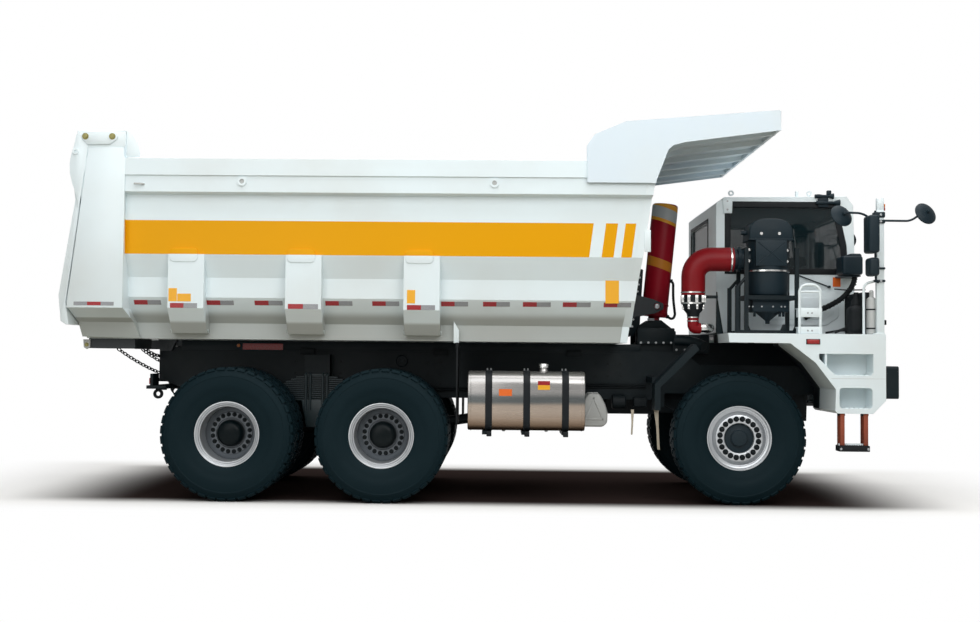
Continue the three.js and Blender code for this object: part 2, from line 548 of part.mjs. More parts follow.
function makeCabShell() {
  const wallSpan = [cabRightY + cabSkin + gap, cabLeftY - cabSkin - gap];
  const right = plate('y', cabOutline, cabRightY, cabRightY + cabSkin);
  addPiece('cab_right_wall', cut(right, plate('y', rightWindow, -700, -500)), 'paint');
  const left = plate('y', cabOutline, cabLeftY - cabSkin, cabLeftY);
  addPiece('cab_left_wall', cut(left, plate('y', grow(doorOutline, doorGap), 1600, 1800)), 'paint');
  const front = plate('y', [[5490, cabFloorZ], [5490, 2930], [5478, 3466], [5418, 3440], [5430, 2930],
    [5430, cabFloorZ]], ...wallSpan);
  addPiece('cab_front', cut(front, plate('x', roundedOutline(...windscreenSpan, 60), 5300, 5600)), 'paint');
  const rear = plate('y', [[3865, cabFloorZ], [3925, cabFloorZ], [3922, 3450], [3862, 3480]], ...wallSpan);
  addPiece('cab_rear_wall', cut(rear, plate('x', roundedOutline(...rearGlass, 60), 3800, 4000)), 'paint');
  const roof = plate('y', [[5478, 3466 + gap * 2], [5400, 3575], [3955, 3555], [3862, 3480 + gap * 2],
    [3922, 3450 + gap * 2], [3985, 3495], [5370, 3515], [5418, 3440 + gap * 2]], ...wallSpan);
  addPiece('cab_roof', roof, 'paint');
  addPiece('cab_floor', box([3925 + gap, 5430 - gap], wallSpan, [cabFloorZ, cabFloorZ + 50]), 'paint');
}

function makeGlass() {
  const inset = (outline) => grow(outline, -gap);
  addPiece('right_window', plate('y', inset(rightWindow), cabRightY + 20, cabRightY + 20 + glassThickness), 'glass');
  const [[r0, r1], [r2, r3]] = rearGlass;
  addPiece('rear_window', plate('x', roundedOutline([r0 + gap, r1 - gap], [r2 + gap, r3 - gap], 60), 3885, 3895),
    'glass');
  const [[w0, w1], [w2, w3]] = windscreenSpan;
  const pane = plate('y', [[5462, w2], [5472, w2], [5472, 2930], [5462, 3378], [5452, 3378], [5462, 2930]], -600, 1700)
    .intersect(plate('x', roundedOutline([w0 + gap, w1 - gap], [w2 + gap, w3 - gap], 60), 5400, 5500));
  addPiece('windscreen', pane, 'glass');
}

function makeDoor() {
  const leaf = plate('y', doorOutline, cabLeftY - cabSkin, cabLeftY);
  const handle = box([4400, 4540], [cabLeftY - 1, cabLeftY + 30], [2480, 2510]);
  addPiece('cab_door', join(cut(leaf, plate('y', doorWindow, 1600, 1800)), handle), 'paint');
  addPiece('door_window', plate('y', grow(doorWindow, -gap), cabLeftY - 30, cabLeftY - 20), 'glass');
}

function makeInterior() {
  const seatBase = box([4480, 4860], [900, 1300], [1991, 2330]);
  const cushion = box([4420, 4940], [850, 1350], [2320, 2450]);
  const back = plate('y', [[4400, 2400], [4500, 2400], [4440, 3080], [4340, 3080]], 860, 1340);
  addPiece('driver_seat', join(seatBase, cushion, back), 'fabric');
  const dash = plate('y', [[5427, 2300], [5427, 2690], [5280, 2690], [5180, 2560], [5230, 2300]], -560, 1660);
  const column = bar([5250, 1100, 2480], [5040, 1100, 2700], 35, 12);
  const wheel = toSolid(new THREE.TorusGeometry(220, 16, 6, 16).rotateY(-Math.PI / 2 + 0.76)
    .translate(5040, 1100, 2700));
  const spoke = bar([5040, 885, 2700], [5040, 1315, 2700], 14, 8);
  addPiece('dashboard', join(dash, column, wheel, spoke), 'plastic');
}

// Air filter on its own frame beside the cab, with the intake duct going back and down to the engine.
const filterX = 4361;
const filterY = -1200;

function makeIntake() {
  const can = bar([filterX, filterY, 2323], [filterX, filterY, 3010], 236, 20);
  const hood = roundedOutline([filterX - 240, filterX + 245], [2990, 3235], 110);
  const top = plate('y', hood, filterY - 215, filterY + 215);
  const ashBox = box([filterX - 205, filterX + 205], [filterY - 190, filterY + 190], [2173, 2330]);
  const cone = toSolid(new THREE.CylinderGeometry(150, 22, 130, 16).rotateX(Math.PI / 2)
    .translate(filterX - 40, filterY, 2115));
  const spout = bar([filterX - 40, filterY, 2010], [filterX - 40, filterY, 2080], 28, 8);
  const outlet = bar([3992, filterY, 2785], [filterX, filterY, 2785], 146, 12);
  addPiece('air_filter', join(can, top, ashBox, cone, spout, outlet), 'plastic');

  const foot = deckTop + gap;
  const post = (x, y, height) => box([x - 22, x + 22], [y - 22, y + 22], [foot, height]);
  const posts = [4075, 4640].flatMap((x) => [filterY - 262, filterY + 262].map((y) => post(x, y, 2890)));
  const longBars = [filterY - 262, filterY + 262].flatMap((y) => [[1924, 1964], [2311, 2355]].map((z) =>
    box([4060, 4655], [y - 20, y + 20], z)));
  const crossBars = [4075, 4640].flatMap((x) => [[1924, 1964], [2311, 2355]].map((z) =>
    box([x - 20, x + 20], [filterY - 262, filterY + 262], z)));
  const stays = [filterY - 262, filterY + 262].flatMap((y) => [post(3972, y, 2459),
    bar([3972, y, 2440], [4075, y, 2560], 18, 8), box([3972, 4075], [y - 20, y + 20], [1924, 1964])]);
  addPiece('air_filter_frame', join(posts, longBars, crossBars, stays), 'chassis');

  const ductX = 3541;
  const bend = 300;
  const path = new THREE.CurvePath();
  path.add(new THREE.LineCurve3(new THREE.Vector3(3991, filterY, 2790), new THREE.Vector3(ductX + bend, filterY, 2790)));
  path.add(new THREE.QuadraticBezierCurve3(new THREE.Vector3(ductX + bend, filterY, 2790),
    new THREE.Vector3(ductX + 20, filterY, 2790), new THREE.Vector3(ductX, filterY, 2790 - bend)));
  path.add(new THREE.LineCurve3(new THREE.Vector3(ductX, filterY, 2790 - bend), new THREE.Vector3(ductX, filterY, 2360)));
  const coupling = bar([ductX, filterY, 2198], [ductX, filterY, 2372], 122, 16);
  const reducer = toSolid(new THREE.CylinderGeometry(95, 64, 70, 16).rotateX(Math.PI / 2)
    .translate(ductX, filterY, 2165));
  const boot = bentBar([[ductX, filterY, 2150], [ductX, filterY, 2000], [3700, filterY + 250, 1990],
    [3700, -400, 1990]], 64, 12);
  addPiece('intake_duct', join(pipe(path, 124, 10), coupling, reducer, boot), 'silicone');
  addPiece('oil_cooler', plate('x', roundedOutline([-1560, -760], [deckTop + gap, 2400], 20), 5345, 5450), 'chassis');
}

makeFrame();
makeDriveline();
makeAxles();
makeSteering();
makeWheels();
makeTanks();
makeBed();
makeHoist();
makeDecks();
makeLadder();
makeMirrors();
makeCabShell();
makeGlass();
makeDoor();
makeInterior();
makeIntake();

// The origin is the middle of the footprint, on the ground.
truck.updateMatrixWorld(true);
const bounds = new THREE.Box3().setFromObject(truck);
truck.position.x = -(bounds.min.x + bounds.max.x) / 2;

export default truck;
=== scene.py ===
import bpy
import json
import math
from mathutils import Matrix, Vector

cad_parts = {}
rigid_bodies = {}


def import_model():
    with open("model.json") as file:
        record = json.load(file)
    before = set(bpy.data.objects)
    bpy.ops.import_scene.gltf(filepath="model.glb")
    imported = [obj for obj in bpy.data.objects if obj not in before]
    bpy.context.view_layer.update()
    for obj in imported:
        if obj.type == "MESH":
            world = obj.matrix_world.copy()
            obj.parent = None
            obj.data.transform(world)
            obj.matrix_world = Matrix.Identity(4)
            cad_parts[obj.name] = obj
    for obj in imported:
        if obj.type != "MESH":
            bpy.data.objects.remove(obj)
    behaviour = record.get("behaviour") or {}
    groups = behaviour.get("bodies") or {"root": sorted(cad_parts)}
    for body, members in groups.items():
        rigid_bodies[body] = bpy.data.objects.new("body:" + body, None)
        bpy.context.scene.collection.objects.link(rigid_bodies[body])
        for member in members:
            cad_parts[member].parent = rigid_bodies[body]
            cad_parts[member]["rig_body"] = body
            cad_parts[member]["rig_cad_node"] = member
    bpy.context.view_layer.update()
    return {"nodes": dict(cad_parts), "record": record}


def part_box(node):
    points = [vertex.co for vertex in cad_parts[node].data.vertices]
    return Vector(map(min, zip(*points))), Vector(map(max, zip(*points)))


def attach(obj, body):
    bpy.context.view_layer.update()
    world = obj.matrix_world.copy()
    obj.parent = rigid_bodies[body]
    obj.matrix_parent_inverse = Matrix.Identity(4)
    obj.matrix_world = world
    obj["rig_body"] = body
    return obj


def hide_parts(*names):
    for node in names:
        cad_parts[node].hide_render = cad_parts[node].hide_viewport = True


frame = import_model()
midX = (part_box("mid_rims_right")[0].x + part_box("mid_rims_right")[1].x) / 2
print("frame loaded")

# Lengths along the truck are metres ahead of the middle axle, Y is to its left and Z up from the ground.
def spot(x, y, z):
    return Vector((midX + x, y, z))


# Camera, floor with a painted shadow under the truck, and light
view = {"place": (1.3, -17.175, 1.645), "yaw": 1.395, "pitch": 2.584, "roll": 0.554,
        "lens": 51.15, "shift": (0.0249, -0.0185)}
stageLook = {"floorSize": 70, "floorColour": (0.88, 0.87, 0.85), "bounce": (0.33, 0.31, 0.255),
             "shade": (0.035, 0.024, 0.022), "shadowY": 0.75, "fade": ((5.0, 7.4), (2.35, 3.6)),
             "middle": 1.1, "under": ((3.9, 5.6), (2.05, 2.75)), "ambient": 0.3, "glossy": 0.22}
cool, warm = (0.97, 0.99, 1.0), (1.0, 0.99, 0.97)
lamps = {  # place, aim, size, power and tone
    "key": ((0.0, -11.5, 9.5), (0, 0, 1.5), (16, 8), 900, cool),
    "fill": ((7.0, -14.5, 8.5), (3.5, 0, 1.8), (8, 5), 335, warm),
    "far": ((1.0, 10.0, 9.0), (0, 0, 1.0), (14, 6), 260, cool),
    "behind": ((-5.0, -13.0, 4.0), (3, 0, 2), (7, 4), 180, warm),
    "top": ((0, -1.0, 12.0), (0, -1.0, 0), (16, 12), 1550, (1, 1, 1)),
}


def makeCamera():
    bpy.ops.object.camera_add()
    camera = bpy.context.object
    camera.data.lens = view["lens"]
    camera.data.shift_x, camera.data.shift_y = view["shift"]
    camera.data.clip_end = 200
    turn = Matrix.Rotation(math.radians(view["yaw"]), 4, "Z")
    tilt = Matrix.Rotation(math.radians(90 + view["pitch"]), 4, "X")
    roll = Matrix.Rotation(math.radians(view["roll"]), 4, "Z")
    camera.matrix_world = Matrix.Translation(spot(*view["place"])) @ turn @ tilt @ roll
    bpy.context.scene.camera = camera


makeCamera()


# Shaders: a wire is a socket that takes part in expressions
class Wire:
    def __init__(self, shader, socket):
        self.shader = shader
        self.socket = socket

    def math(self, operation, *others):
        return self.shader.node("Math", {"operation": operation}, dict(enumerate((self, *others))))

    def __add__(self, other):
        return self.math("ADD", other)

    def __radd__(self, other):
        return self.math("ADD", other)

    def __sub__(self, other):
        return self.math("SUBTRACT", other)

    def __rsub__(self, other):
        return self.shader.node("Math", {"operation": "SUBTRACT"}, {0: other, 1: self})

    def __mul__(self, other):
        return self.math("MULTIPLY", other)

    def __rmul__(self, other):
        return self.math("MULTIPLY", other)

    def __gt__(self, other):
        return self.math("GREATER_THAN", other)

    def __lt__(self, other):
        return self.math("LESS_THAN", other)

    def __abs__(self):
        return self.math("ABSOLUTE")


class Shader:
    def __init__(self, tree):
        self.tree = tree

    # Any node: its type, its settings, then the values or wires of its sockets
    def node(self, kind, settings=None, sockets=None, out=0):
        made = self.tree.nodes.new("ShaderNode" + kind)
        for key, value in (settings or {}).items():
            setattr(made, key, value)
        for key, value in (sockets or {}).items():
            if isinstance(value, Wire):
                self.tree.links.new(value.socket, made.inputs[key])
            else:
                made.inputs[key].default_value = value
        return Wire(self, made.outputs[out])

    def axes(self):
        split = self.node("SeparateXYZ", sockets={0: self.at()})
        return [Wire(self, split.socket.node.outputs[i]) for i in range(3)]

    def at(self):
        return self.node("TexCoord", out="Object")

    def noise(self, scale, detail=3, at=None):
        sockets = {"Vector": at or self.at(), "Scale": scale, "Detail": detail, "Roughness": 0.5}
        return self.node("TexNoise", sockets=sockets)

    def stretched(self, x, y, z):
        return self.node("Mapping", sockets={"Vector": self.at(), "Scale": (x, y, z)})

    def between(self, value, low, high):
        return (value > low) * (value < high)

    def soft(self, value, low, high):
        settings = {"interpolation_type": "SMOOTHSTEP"}
        return self.node("MapRange", settings, {0: value, 1: low, 2: high, 3: 0, 4: 1})

    def mix(self, factor, first, second):
        settings = {"data_type": "RGBA"}
        return self.node("Mix", settings, {0: factor, 6: colour(first), 7: colour(second)}, out=2)

    def bump(self, height, strength, distance):
        return self.node("Bump", sockets={"Height": height, "Strength": strength, "Distance": distance})


def colour(value):
    return value if isinstance(value, Wire) else (*value, 1)


def newMaterial(name, slot, fixed, paint):
    material = bpy.data.materials.new(name)
    material.use_nodes = True
    material["slot"] = slot
    shader = Shader(material.node_tree)
    surface = material.node_tree.nodes["Principled BSDF"]
    for key, value in fixed.items():
        surface.inputs[key].default_value = value
    for key, value in paint(shader).items():
        if isinstance(value, Wire):
            material.node_tree.links.new(value.socket, surface.inputs[key])
        else:
            surface.inputs[key].default_value = value
    return material


# White body paint, with the yellow stripe of the bed and painted shade low on the bed's sides where they
# are asked for; the canopy takes a darker copy as painted shade
whitePaint = {"colour": (0.765, 0.855, 0.885), "shade": (0.715, 0.775, 0.785), "paintedShade": (0.22, 0.21, 0.17),
              # canopy: the body white made darker, painted shade on the canopy
              "canopy": (0.69, 0.78, 0.845), "black": (0.008, 0.013, 0.016), "rough": 0.3, "peel": 0.05,
              "wallFoot": (2.737, 1.812),
              "wallLean": 0.1472, "deckFloor": 1.928}
stripe = {"low": 2.74, "high": 3.116, "lean": 0.13, "edges": (-4.0, 2.283, 2.419, 2.551, 2.634, 2.75),
          "yellow": (0.79, 0.36, 0.001), "skin": (1.85, 1.9)}


def surfaceOf(s, tone, rough, height, strength, depth):
    return {"Base Color": tone, "Roughness": rough, "Normal": s.bump(height, strength, depth)}


def paintLook(striped=False, blackBelow=None, blackAhead=False, blackInside=None,
              tint=whitePaint["colour"]):
    def paint(s):
        x, y, z = s.axes()
        cloud = s.noise(0.9, 4)
        tone = s.mix(s.soft(cloud, 0.35, 0.75), tint, whitePaint["shade"])
        rough = whitePaint["rough"] + cloud * 0.12
        if striped:
            run = x - (z - stripe["low"]) * stripe["lean"]
            edges = [midX + edge for edge in stripe["edges"]]
            bands = sum((s.between(run, low, high) for low, high in zip(edges[::2], edges[1::2])), 0)
            skin = s.between(abs(y), *stripe["skin"])
            film = s.between(z, stripe["low"], stripe["high"]) * skin * bands
            yellow = s.mix(s.noise(0.5, 2), stripe["yellow"], [c * 0.94 for c in stripe["yellow"]])
            # Painted shade: the bed side's lower, downward-facing panel is darkened below about 2.1 m
            paintedShade = s.soft(z + cloud * 0.04, 2.16, 2.06) * s.soft(abs(y), 1.76, 1.72)
            tone = s.mix(paintedShade * 0.6, tone, whitePaint["paintedShade"])
            tone = s.mix(film, tone, yellow)
        if blackBelow:
            under = z < blackBelow
            tone = s.mix(under, tone, whitePaint["black"])
            rough = rough + under * 0.2
        if blackInside:  # the part of a deck that lies under the cab
            tone = s.mix((abs(y) < blackInside) * (z < whitePaint["deckFloor"]), tone, whitePaint["black"])
        if blackAhead:  # the hoist brackets stand out from the wall
            ahead = x - (z - whitePaint["wallFoot"][1]) * whitePaint["wallLean"]
            under = (ahead > midX + whitePaint["wallFoot"][0] + 0.012) * (abs(y) < 0.3)
            tone = s.mix(under, tone, whitePaint["black"])
            rough = rough + under * 0.2
        return surfaceOf(s, tone, rough, s.noise(95, 2), whitePaint["peel"], 0.002)
    return paint


dust = (0.03, 0.033, 0.033)


def darkLook(tone, rough, grain, depth=0.003):
    def paint(s):
        cloud = s.noise(2.3, 5)
        shade = s.mix(s.soft(cloud, 0.45, 0.85) * 0.35, tone, dust)
        return surfaceOf(s, shade, rough + cloud * 0.15, s.noise(grain, 3), 0.25, depth)
    return paint


def metalLook(tone, rough, stretch, depth=0.0008):
    def paint(s):
        brushed = s.noise(1, 4, at=s.stretched(*stretch))
        cloud = s.noise(3.1, 3)
        shade = s.mix(cloud * 0.5, tone, [c * 0.82 for c in tone])
        return surfaceOf(s, shade, rough + brushed * 0.12, brushed, 0.12, depth)
    return paint


# Polished sheet of the fuel tank, with painted reflections: a darker band half way up and a warmer tone
# below it stand in for the studio and the floor it mirrors, and it darkens towards the foot
tankSheet = {"upper": (0.36, 0.35, 0.34), "band": (0.13, 0.14, 0.14), "lower": (0.4, 0.33, 0.27),
             "foot": (0.2, 0.135, 0.09), "footEdges": (0.86, 1.06), "edges": (1.125, 1.205)}


def tankLook(s):
    z = s.axes()[2]
    low, high = tankSheet["edges"]
    brushed = s.noise(1, 4, at=s.stretched(2, 60, 60))
    # Painted reflection: the tones are set by height, not by the lamps
    wave = z + s.noise(1.2, 2) * 0.03 - 0.015
    tone = s.mix(s.soft(wave, *tankSheet["footEdges"]), tankSheet["foot"], tankSheet["lower"])
    tone = s.mix(s.soft(wave, low - 0.04, low + 0.02), tone, tankSheet["band"])
    tone = s.mix(s.soft(wave, high - 0.03, high + 0.05), tone, tankSheet["upper"])
    return surfaceOf(s, tone, 0.2 + brushed * 0.12, brushed, 0.1, 0.0008)


def glossLook(tone, rough=0.28, speck=0.15):
    def paint(s):
        cloud = s.noise(4, 3)
        shade = s.mix(cloud * speck, tone, [c * 0.6 for c in tone])
        return surfaceOf(s, shade, rough + cloud * 0.1, s.noise(120, 2), 0.06, 0.001)
    return paint


def glassLook(s):
    film = s.noise(0.8, 2)
    return {"Base Color": s.mix(film, (0.006, 0.016, 0.02), (0.01, 0.024, 0.028)),
            "Roughness": 0.02 + film * 0.03, "Alpha": 0.5 + film * 0.06}


# Hoist tube: crimson, with a yellow cap band, a silver band, a thin yellow one and an orange band half way
hoist = {"trunnion": (3.214, 2.266), "lean": 5.6, "slant": 0.25, "crimson": (0.31, 0.004, 0.015),
         "bands": ((1.215, 1.275, (0.72, 0.33, 0.03)), (1.075, 1.215, (0.42, 0.44, 0.45)),
                   (1.035, 1.075, (0.72, 0.33, 0.03)), (0.47, 0.585, (0.52, 0.19, 0.02)))}


def hoistLook(s):
    x, _, z = s.axes()
    lean = math.radians(hoist["lean"])
    ahead, above = x - (midX + hoist["trunnion"][0]), z - hoist["trunnion"][1]
    along = ahead * math.sin(lean) + above * math.cos(lean)
    along = along + (ahead * math.cos(lean) - above * math.sin(lean)) * hoist["slant"]
    cloud = s.noise(3, 3)
    tone = s.mix(cloud * 0.3, hoist["crimson"], [c * 0.6 for c in hoist["crimson"]])
    for low, high, band in hoist["bands"]:
        tone = s.mix(s.between(along, low, high), tone, band)
    return surfaceOf(s, tone, 0.26 + cloud * 0.12, s.noise(40, 2), 0.05, 0.002)


def siliconeLook(s):
    wrap = s.noise(1, 2, at=s.stretched(6, 6, 6))
    weave = s.node("TexWave", {"wave_type": "BANDS", "bands_direction": "DIAGONAL"},
                   {"Vector": s.at(), "Scale": 26, "Distortion": 1.5, "Detail": 2}, out="Fac")
    tone = s.mix(wrap * 0.45, (0.22, 0.004, 0.008), (0.13, 0.003, 0.006))
    return surfaceOf(s, tone, 0.36 + wrap * 0.1, weave, 0.1, 0.002)


def rubberLook(s):
    cloud = s.noise(2.6, 5)
    tone = s.mix(s.soft(cloud, 0.4, 0.8) * 0.6, (0.0025, 0.011, 0.015), (0.005, 0.015, 0.0195))
    return surfaceOf(s, tone, 0.52 + cloud * 0.2, s.noise(170, 3), 0.18, 0.001)


def reflectLook(tone):
    def paint(s):
        cells = s.node("TexVoronoi", sockets={"Vector": s.at(), "Scale": 130}, out="Distance")
        shade = s.mix(s.soft(cells, 0.1, 0.6), tone, [c * 0.7 for c in tone])
        return surfaceOf(s, shade, 0.22 + cells * 0.15, cells, 0.2, 0.001)
    return paint


def clothLook(s):
    weave = s.node("TexWave", {"wave_type": "BANDS", "bands_direction": "Z"},
                   {"Vector": s.at(), "Scale": 160, "Distortion": 3}, out="Fac")
    tone = s.mix(weave, (0.03, 0.032, 0.038), (0.055, 0.058, 0.066))
    return surfaceOf(s, tone, 0.85 + weave * 0.1, weave, 0.35, 0.001)


coat = {"Coat Weight": 0.1, "Coat Roughness": 0.08}
metal = {"Metallic": 1.0}
dull = {"Specular IOR Level": 0.2}
flat = {"Specular IOR Level": 0.1}
looks = {key: newMaterial(*row) for key, row in {
    "paint": ("white_body_paint", "white_paint", coat, paintLook()),
    "bedPaint": ("white_bed_paint", "white_paint", flat, paintLook(striped=True)),
    # Painted shade: the canopy's white is a darker copy of the body paint
    "canopyPaint": ("canopy_paint_painted_shade", "white_paint", flat, paintLook(tint=whitePaint["canopy"])),
    "wallPaint": ("front_wall_paint", "white_paint", coat, paintLook(blackAhead=True)),
    "floorPaint": ("bed_floor_paint", "white_paint", coat, paintLook(blackBelow=1.803)),
    "deckPaint": ("white_deck_paint", "white_paint", coat, paintLook(blackInside=0.98)),
    "chassis": ("satin_chassis_black", "chassis_black", dull, darkLook((0.0008, 0.006, 0.0085), 0.42, 60)),
    "cast": ("dark_castings", "cast_iron", dull, darkLook((0.003, 0.0065, 0.0085), 0.5, 90, 0.006)),
    # Painted sheen: the leaves are a lighter copy of the cast look, for the light their edges catch
    "leaf": ("spring_leaves_painted_sheen", "cast_iron", {}, darkLook((0.009, 0.022, 0.0265), 0.4, 90, 0.002)),
    "plastic": ("black_plastic", "black_plastic", dull, darkLook((0.006, 0.016, 0.023), 0.38, 220)),
    "glossy": ("glossy_hub_black", "black_plastic", flat,
               darkLook((0.001, 0.004, 0.0052), 0.24, 80, 0.001)),
    "trim": ("black_trim", "black_rubber", dull, darkLook((0.004, 0.006, 0.008), 0.45, 150)),
    "flap": ("mudflap_rubber", "black_rubber", dull, darkLook((0.007, 0.009, 0.0105), 0.62, 120)),
    "tyre": ("tyre_rubber", "tyre_rubber", flat, rubberLook),
    "rim": ("silver_rim_paint", "rim_silver", {"Metallic": 0.75},
            metalLook((0.5, 0.52, 0.54), 0.3, (30, 30, 30))),
    # Painted shade: a darker copy of the silver rim for the rear discs deep in their recess
    "rimShaded": ("rim_silver_painted_shade", "rim_silver", {"Metallic": 0.55},
                metalLook((0.13, 0.145, 0.16), 0.42, (30, 30, 30))),
    "tankSheet": ("tank_sheet", "polished_aluminium", {"Metallic": 0.9}, tankLook),
    "steel": ("stainless_bands", "stainless", metal, metalLook((0.72, 0.72, 0.7), 0.18, (40, 40, 4))),
    "zinc": ("yellow_zinc", "zinc_fastener", metal, metalLook((0.24, 0.22, 0.09), 0.38, (60, 60, 60))),
    "bolt": ("plain_fasteners", "stainless", {"Metallic": 0.7},
             metalLook((0.42, 0.44, 0.45), 0.34, (60, 60, 60))),
    "greySteel": ("grey_pressing", "grey_steel", {"Metallic": 0.15},
                  metalLook((0.46, 0.47, 0.46), 0.45, (20, 20, 20))),
    "beige": ("beige_flap", "grey_steel", {}, glossLook((0.42, 0.37, 0.29), 0.5)),
    "hoist": ("crimson_hoist", "hoist_crimson", dull, hoistLook),
    "chrome": ("rod_plating", "hoist_chrome", metal, metalLook((0.78, 0.78, 0.8), 0.08, (8, 8, 60))),
    "silicone": ("red_silicone", "duct_silicone", dull, siliconeLook),
    "glass": ("tinted_glass", "tinted_glass", {}, glassLook),
    "red": ("reflector_red", "reflector_red", {}, reflectLook((0.42, 0.006, 0.012))),
    "silver": ("reflector_silver", "reflector_silver", {}, reflectLook((0.36, 0.37, 0.39))),
    "yellow": ("blank_sticker_yellow", "stripe_yellow", {}, glossLook((0.84, 0.4, 0.01), 0.34, 0.05)),
    "orange": ("blank_sticker_orange", "stripe_yellow", {}, glossLook((0.78, 0.14, 0.01), 0.34, 0.05)),
    "lampRed": ("red_lens", "reflector_red", coat, reflectLook((0.42, 0.01, 0.008))),
    "lampAmber": ("amber_lens", "amber_lens", coat, reflectLook((0.75, 0.2, 0.01))),
    "strap": ("step_webbing", "step_orange", {}, darkLook((0.26, 0.05, 0.018), 0.6, 260)),
    "cloth": ("seat_cloth", "seat_fabric", {}, clothLook),
}.items()}
print("materials made")


def makeStage():
    bpy.ops.mesh.primitive_circle_add(vertices=96, radius=stageLook["floorSize"] / 2, fill_type="NGON")
    floor = bpy.context.object
    floor.name = "floor"
    material = bpy.data.materials.new("pale_floor")
    material.use_nodes = True
    s = Shader(material.node_tree)
    nodes = material.node_tree.nodes
    nodes["Principled BSDF"].inputs["Roughness"].default_value = 0.9
    nodes["Principled BSDF"].inputs["Specular IOR Level"].default_value = 0.0
    seen = s.node("LightPath", out="Is Camera Ray")
    glossy = s.node("LightPath", out="Is Glossy Ray")
    through = s.node("LightPath", out="Is Transmission Ray")
    glow = s.node("Emission", sockets={"Color": (1, 1, 1, 1), "Strength": 1.0})
    x, y, _ = s.axes()
    fadeX, fadeY = stageLook["fade"]
    away = 1 - (1 - s.soft(abs(x), *fadeX)) * (1 - s.soft(abs(y - stageLook["shadowY"]), *fadeY))
    # Painted shadow: the floor's base colour turns dark brown in a patch under the truck
    underX, underY = stageLook["under"]
    inX = 1 - s.soft(abs(x - (midX + stageLook["middle"])), *underX)
    under = inX * (1 - s.soft(abs(y - stageLook["shadowY"]), *underY))
    ground = s.mix(under, stageLook["floorColour"], stageLook["shade"])
    ground = s.mix(s.node("LightPath", out="Is Diffuse Ray"), ground, stageLook["bounce"])
    material.node_tree.links.new(ground.socket, nodes["Principled BSDF"].inputs["Base Color"])
    whole = (seen + glossy * 0.5 + through) * away
    share = s.node("MixShader", sockets={0: whole, 1: Wire(s, nodes["Principled BSDF"].outputs[0]),
                                         2: glow})
    material.node_tree.links.new(share.socket, nodes["Material Output"].inputs["Surface"])
    floor.data.materials.append(material)

    world = bpy.data.worlds.new("studio")
    world.use_nodes = True
    bpy.context.scene.world = world
    s = Shader(world.node_tree)
    direct = s.node("LightPath", out="Is Camera Ray") + s.node("LightPath", out="Is Transmission Ray")
    glossy = s.node("LightPath", out="Is Glossy Ray") * stageLook["glossy"]
    level = direct.math("MINIMUM", 1.0) * (1 - stageLook["ambient"]) + glossy + stageLook["ambient"]
    world.node_tree.nodes["Background"].inputs["Color"].default_value = (1, 1, 1, 1)
    world.node_tree.links.new(level.socket, world.node_tree.nodes["Background"].inputs["Strength"])


def addLamp(name, place, aim, size, power, tone):
    bpy.ops.object.light_add(type="AREA", location=place)
    lamp = bpy.context.object
    lamp.name = name
    lamp.data.shape = "RECTANGLE"
    lamp.data.size, lamp.data.size_y = size
    lamp.data.energy = power
    lamp.data.color = tone
    lamp.rotation_euler = (Vector(aim) - Vector(place)).to_track_quat("-Z", "Y").to_euler()


makeStage()
for name, lamp in lamps.items():
    addLamp(name, *lamp)
bpy.context.scene.view_settings.view_transform = "Standard"
print("stage made")


# Modelling tools
def deselectAll():
    if bpy.context.object and bpy.context.object.mode != "OBJECT":
        bpy.ops.object.mode_set(mode="OBJECT")
    bpy.ops.object.select_all(action="DESELECT")


def pick(*pieces):
    deselectAll()
    for piece in pieces:
        piece.select_set(True)
    bpy.context.view_layer.objects.active = pieces[0]


def settle(piece):  # the place goes into the mesh
    pick(piece)
    bpy.ops.object.transform_apply(location=True, rotation=True, scale=True)


def editAll(piece):
    pick(piece)
    bpy.ops.object.mode_set(mode="EDIT")
    bpy.ops.mesh.select_all(action="SELECT")


def editFaces(piece, test):  # into edit mode with just the faces that pass
    editAll(piece)
    bpy.ops.mesh.select_mode(type="FACE")
    bpy.ops.mesh.select_all(action="DESELECT")
    bpy.ops.object.mode_set(mode="OBJECT")
    for face in piece.data.polygons:
        face.select = test(face)
    bpy.ops.object.mode_set(mode="EDIT")


def endEdit():
    bpy.ops.mesh.select_mode(type="VERT")
    bpy.ops.mesh.select_all(action="SELECT")
    bpy.ops.mesh.remove_doubles(threshold=0.00002)
    bpy.ops.mesh.normals_make_consistent(inside=False)
    bpy.ops.object.mode_set(mode="OBJECT")


def modify(piece, kind, **settings):
    pick(piece)
    modifier = piece.modifiers.new(kind.lower(), kind)
    for key, value in settings.items():
        setattr(modifier, key, value)
    bpy.ops.object.modifier_apply(modifier=modifier.name)


def rounded(piece, width=0.004, segments=2, limit=20):
    modify(piece, "BEVEL", width=width, segments=segments, limit_method="ANGLE",
           angle_limit=math.radians(limit), use_clamp_overlap=True)
    return piece


def dress(piece, look, body, *nodes, angle=35, weighted=False):
    pick(piece)
    piece.data.materials.clear()
    piece.data.materials.append(looks[look])
    if weighted:
        bpy.ops.object.shade_smooth()
        modify(piece, "WEIGHTED_NORMAL", weight=80)
    else:
        bpy.ops.object.shade_smooth_by_angle(angle=math.radians(angle))
    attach(piece, body)
    if nodes:
        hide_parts(*nodes)
    return piece


def startLine(name, first):  # a single corner to extrude from
    deselectAll()
    bpy.ops.mesh.primitive_plane_add(size=0.01, location=(0, 0, 0))
    piece = bpy.context.object
    piece.name = name
    bpy.ops.object.mode_set(mode="EDIT")
    bpy.ops.mesh.merge(type="CENTER")
    bpy.ops.transform.translate(value=first)
    return piece


def drawLine(points):
    for a, b in zip(points, points[1:]):
        bpy.ops.mesh.extrude_vertices_move(TRANSFORM_OT_translate={"value": Vector(b) - Vector(a)})


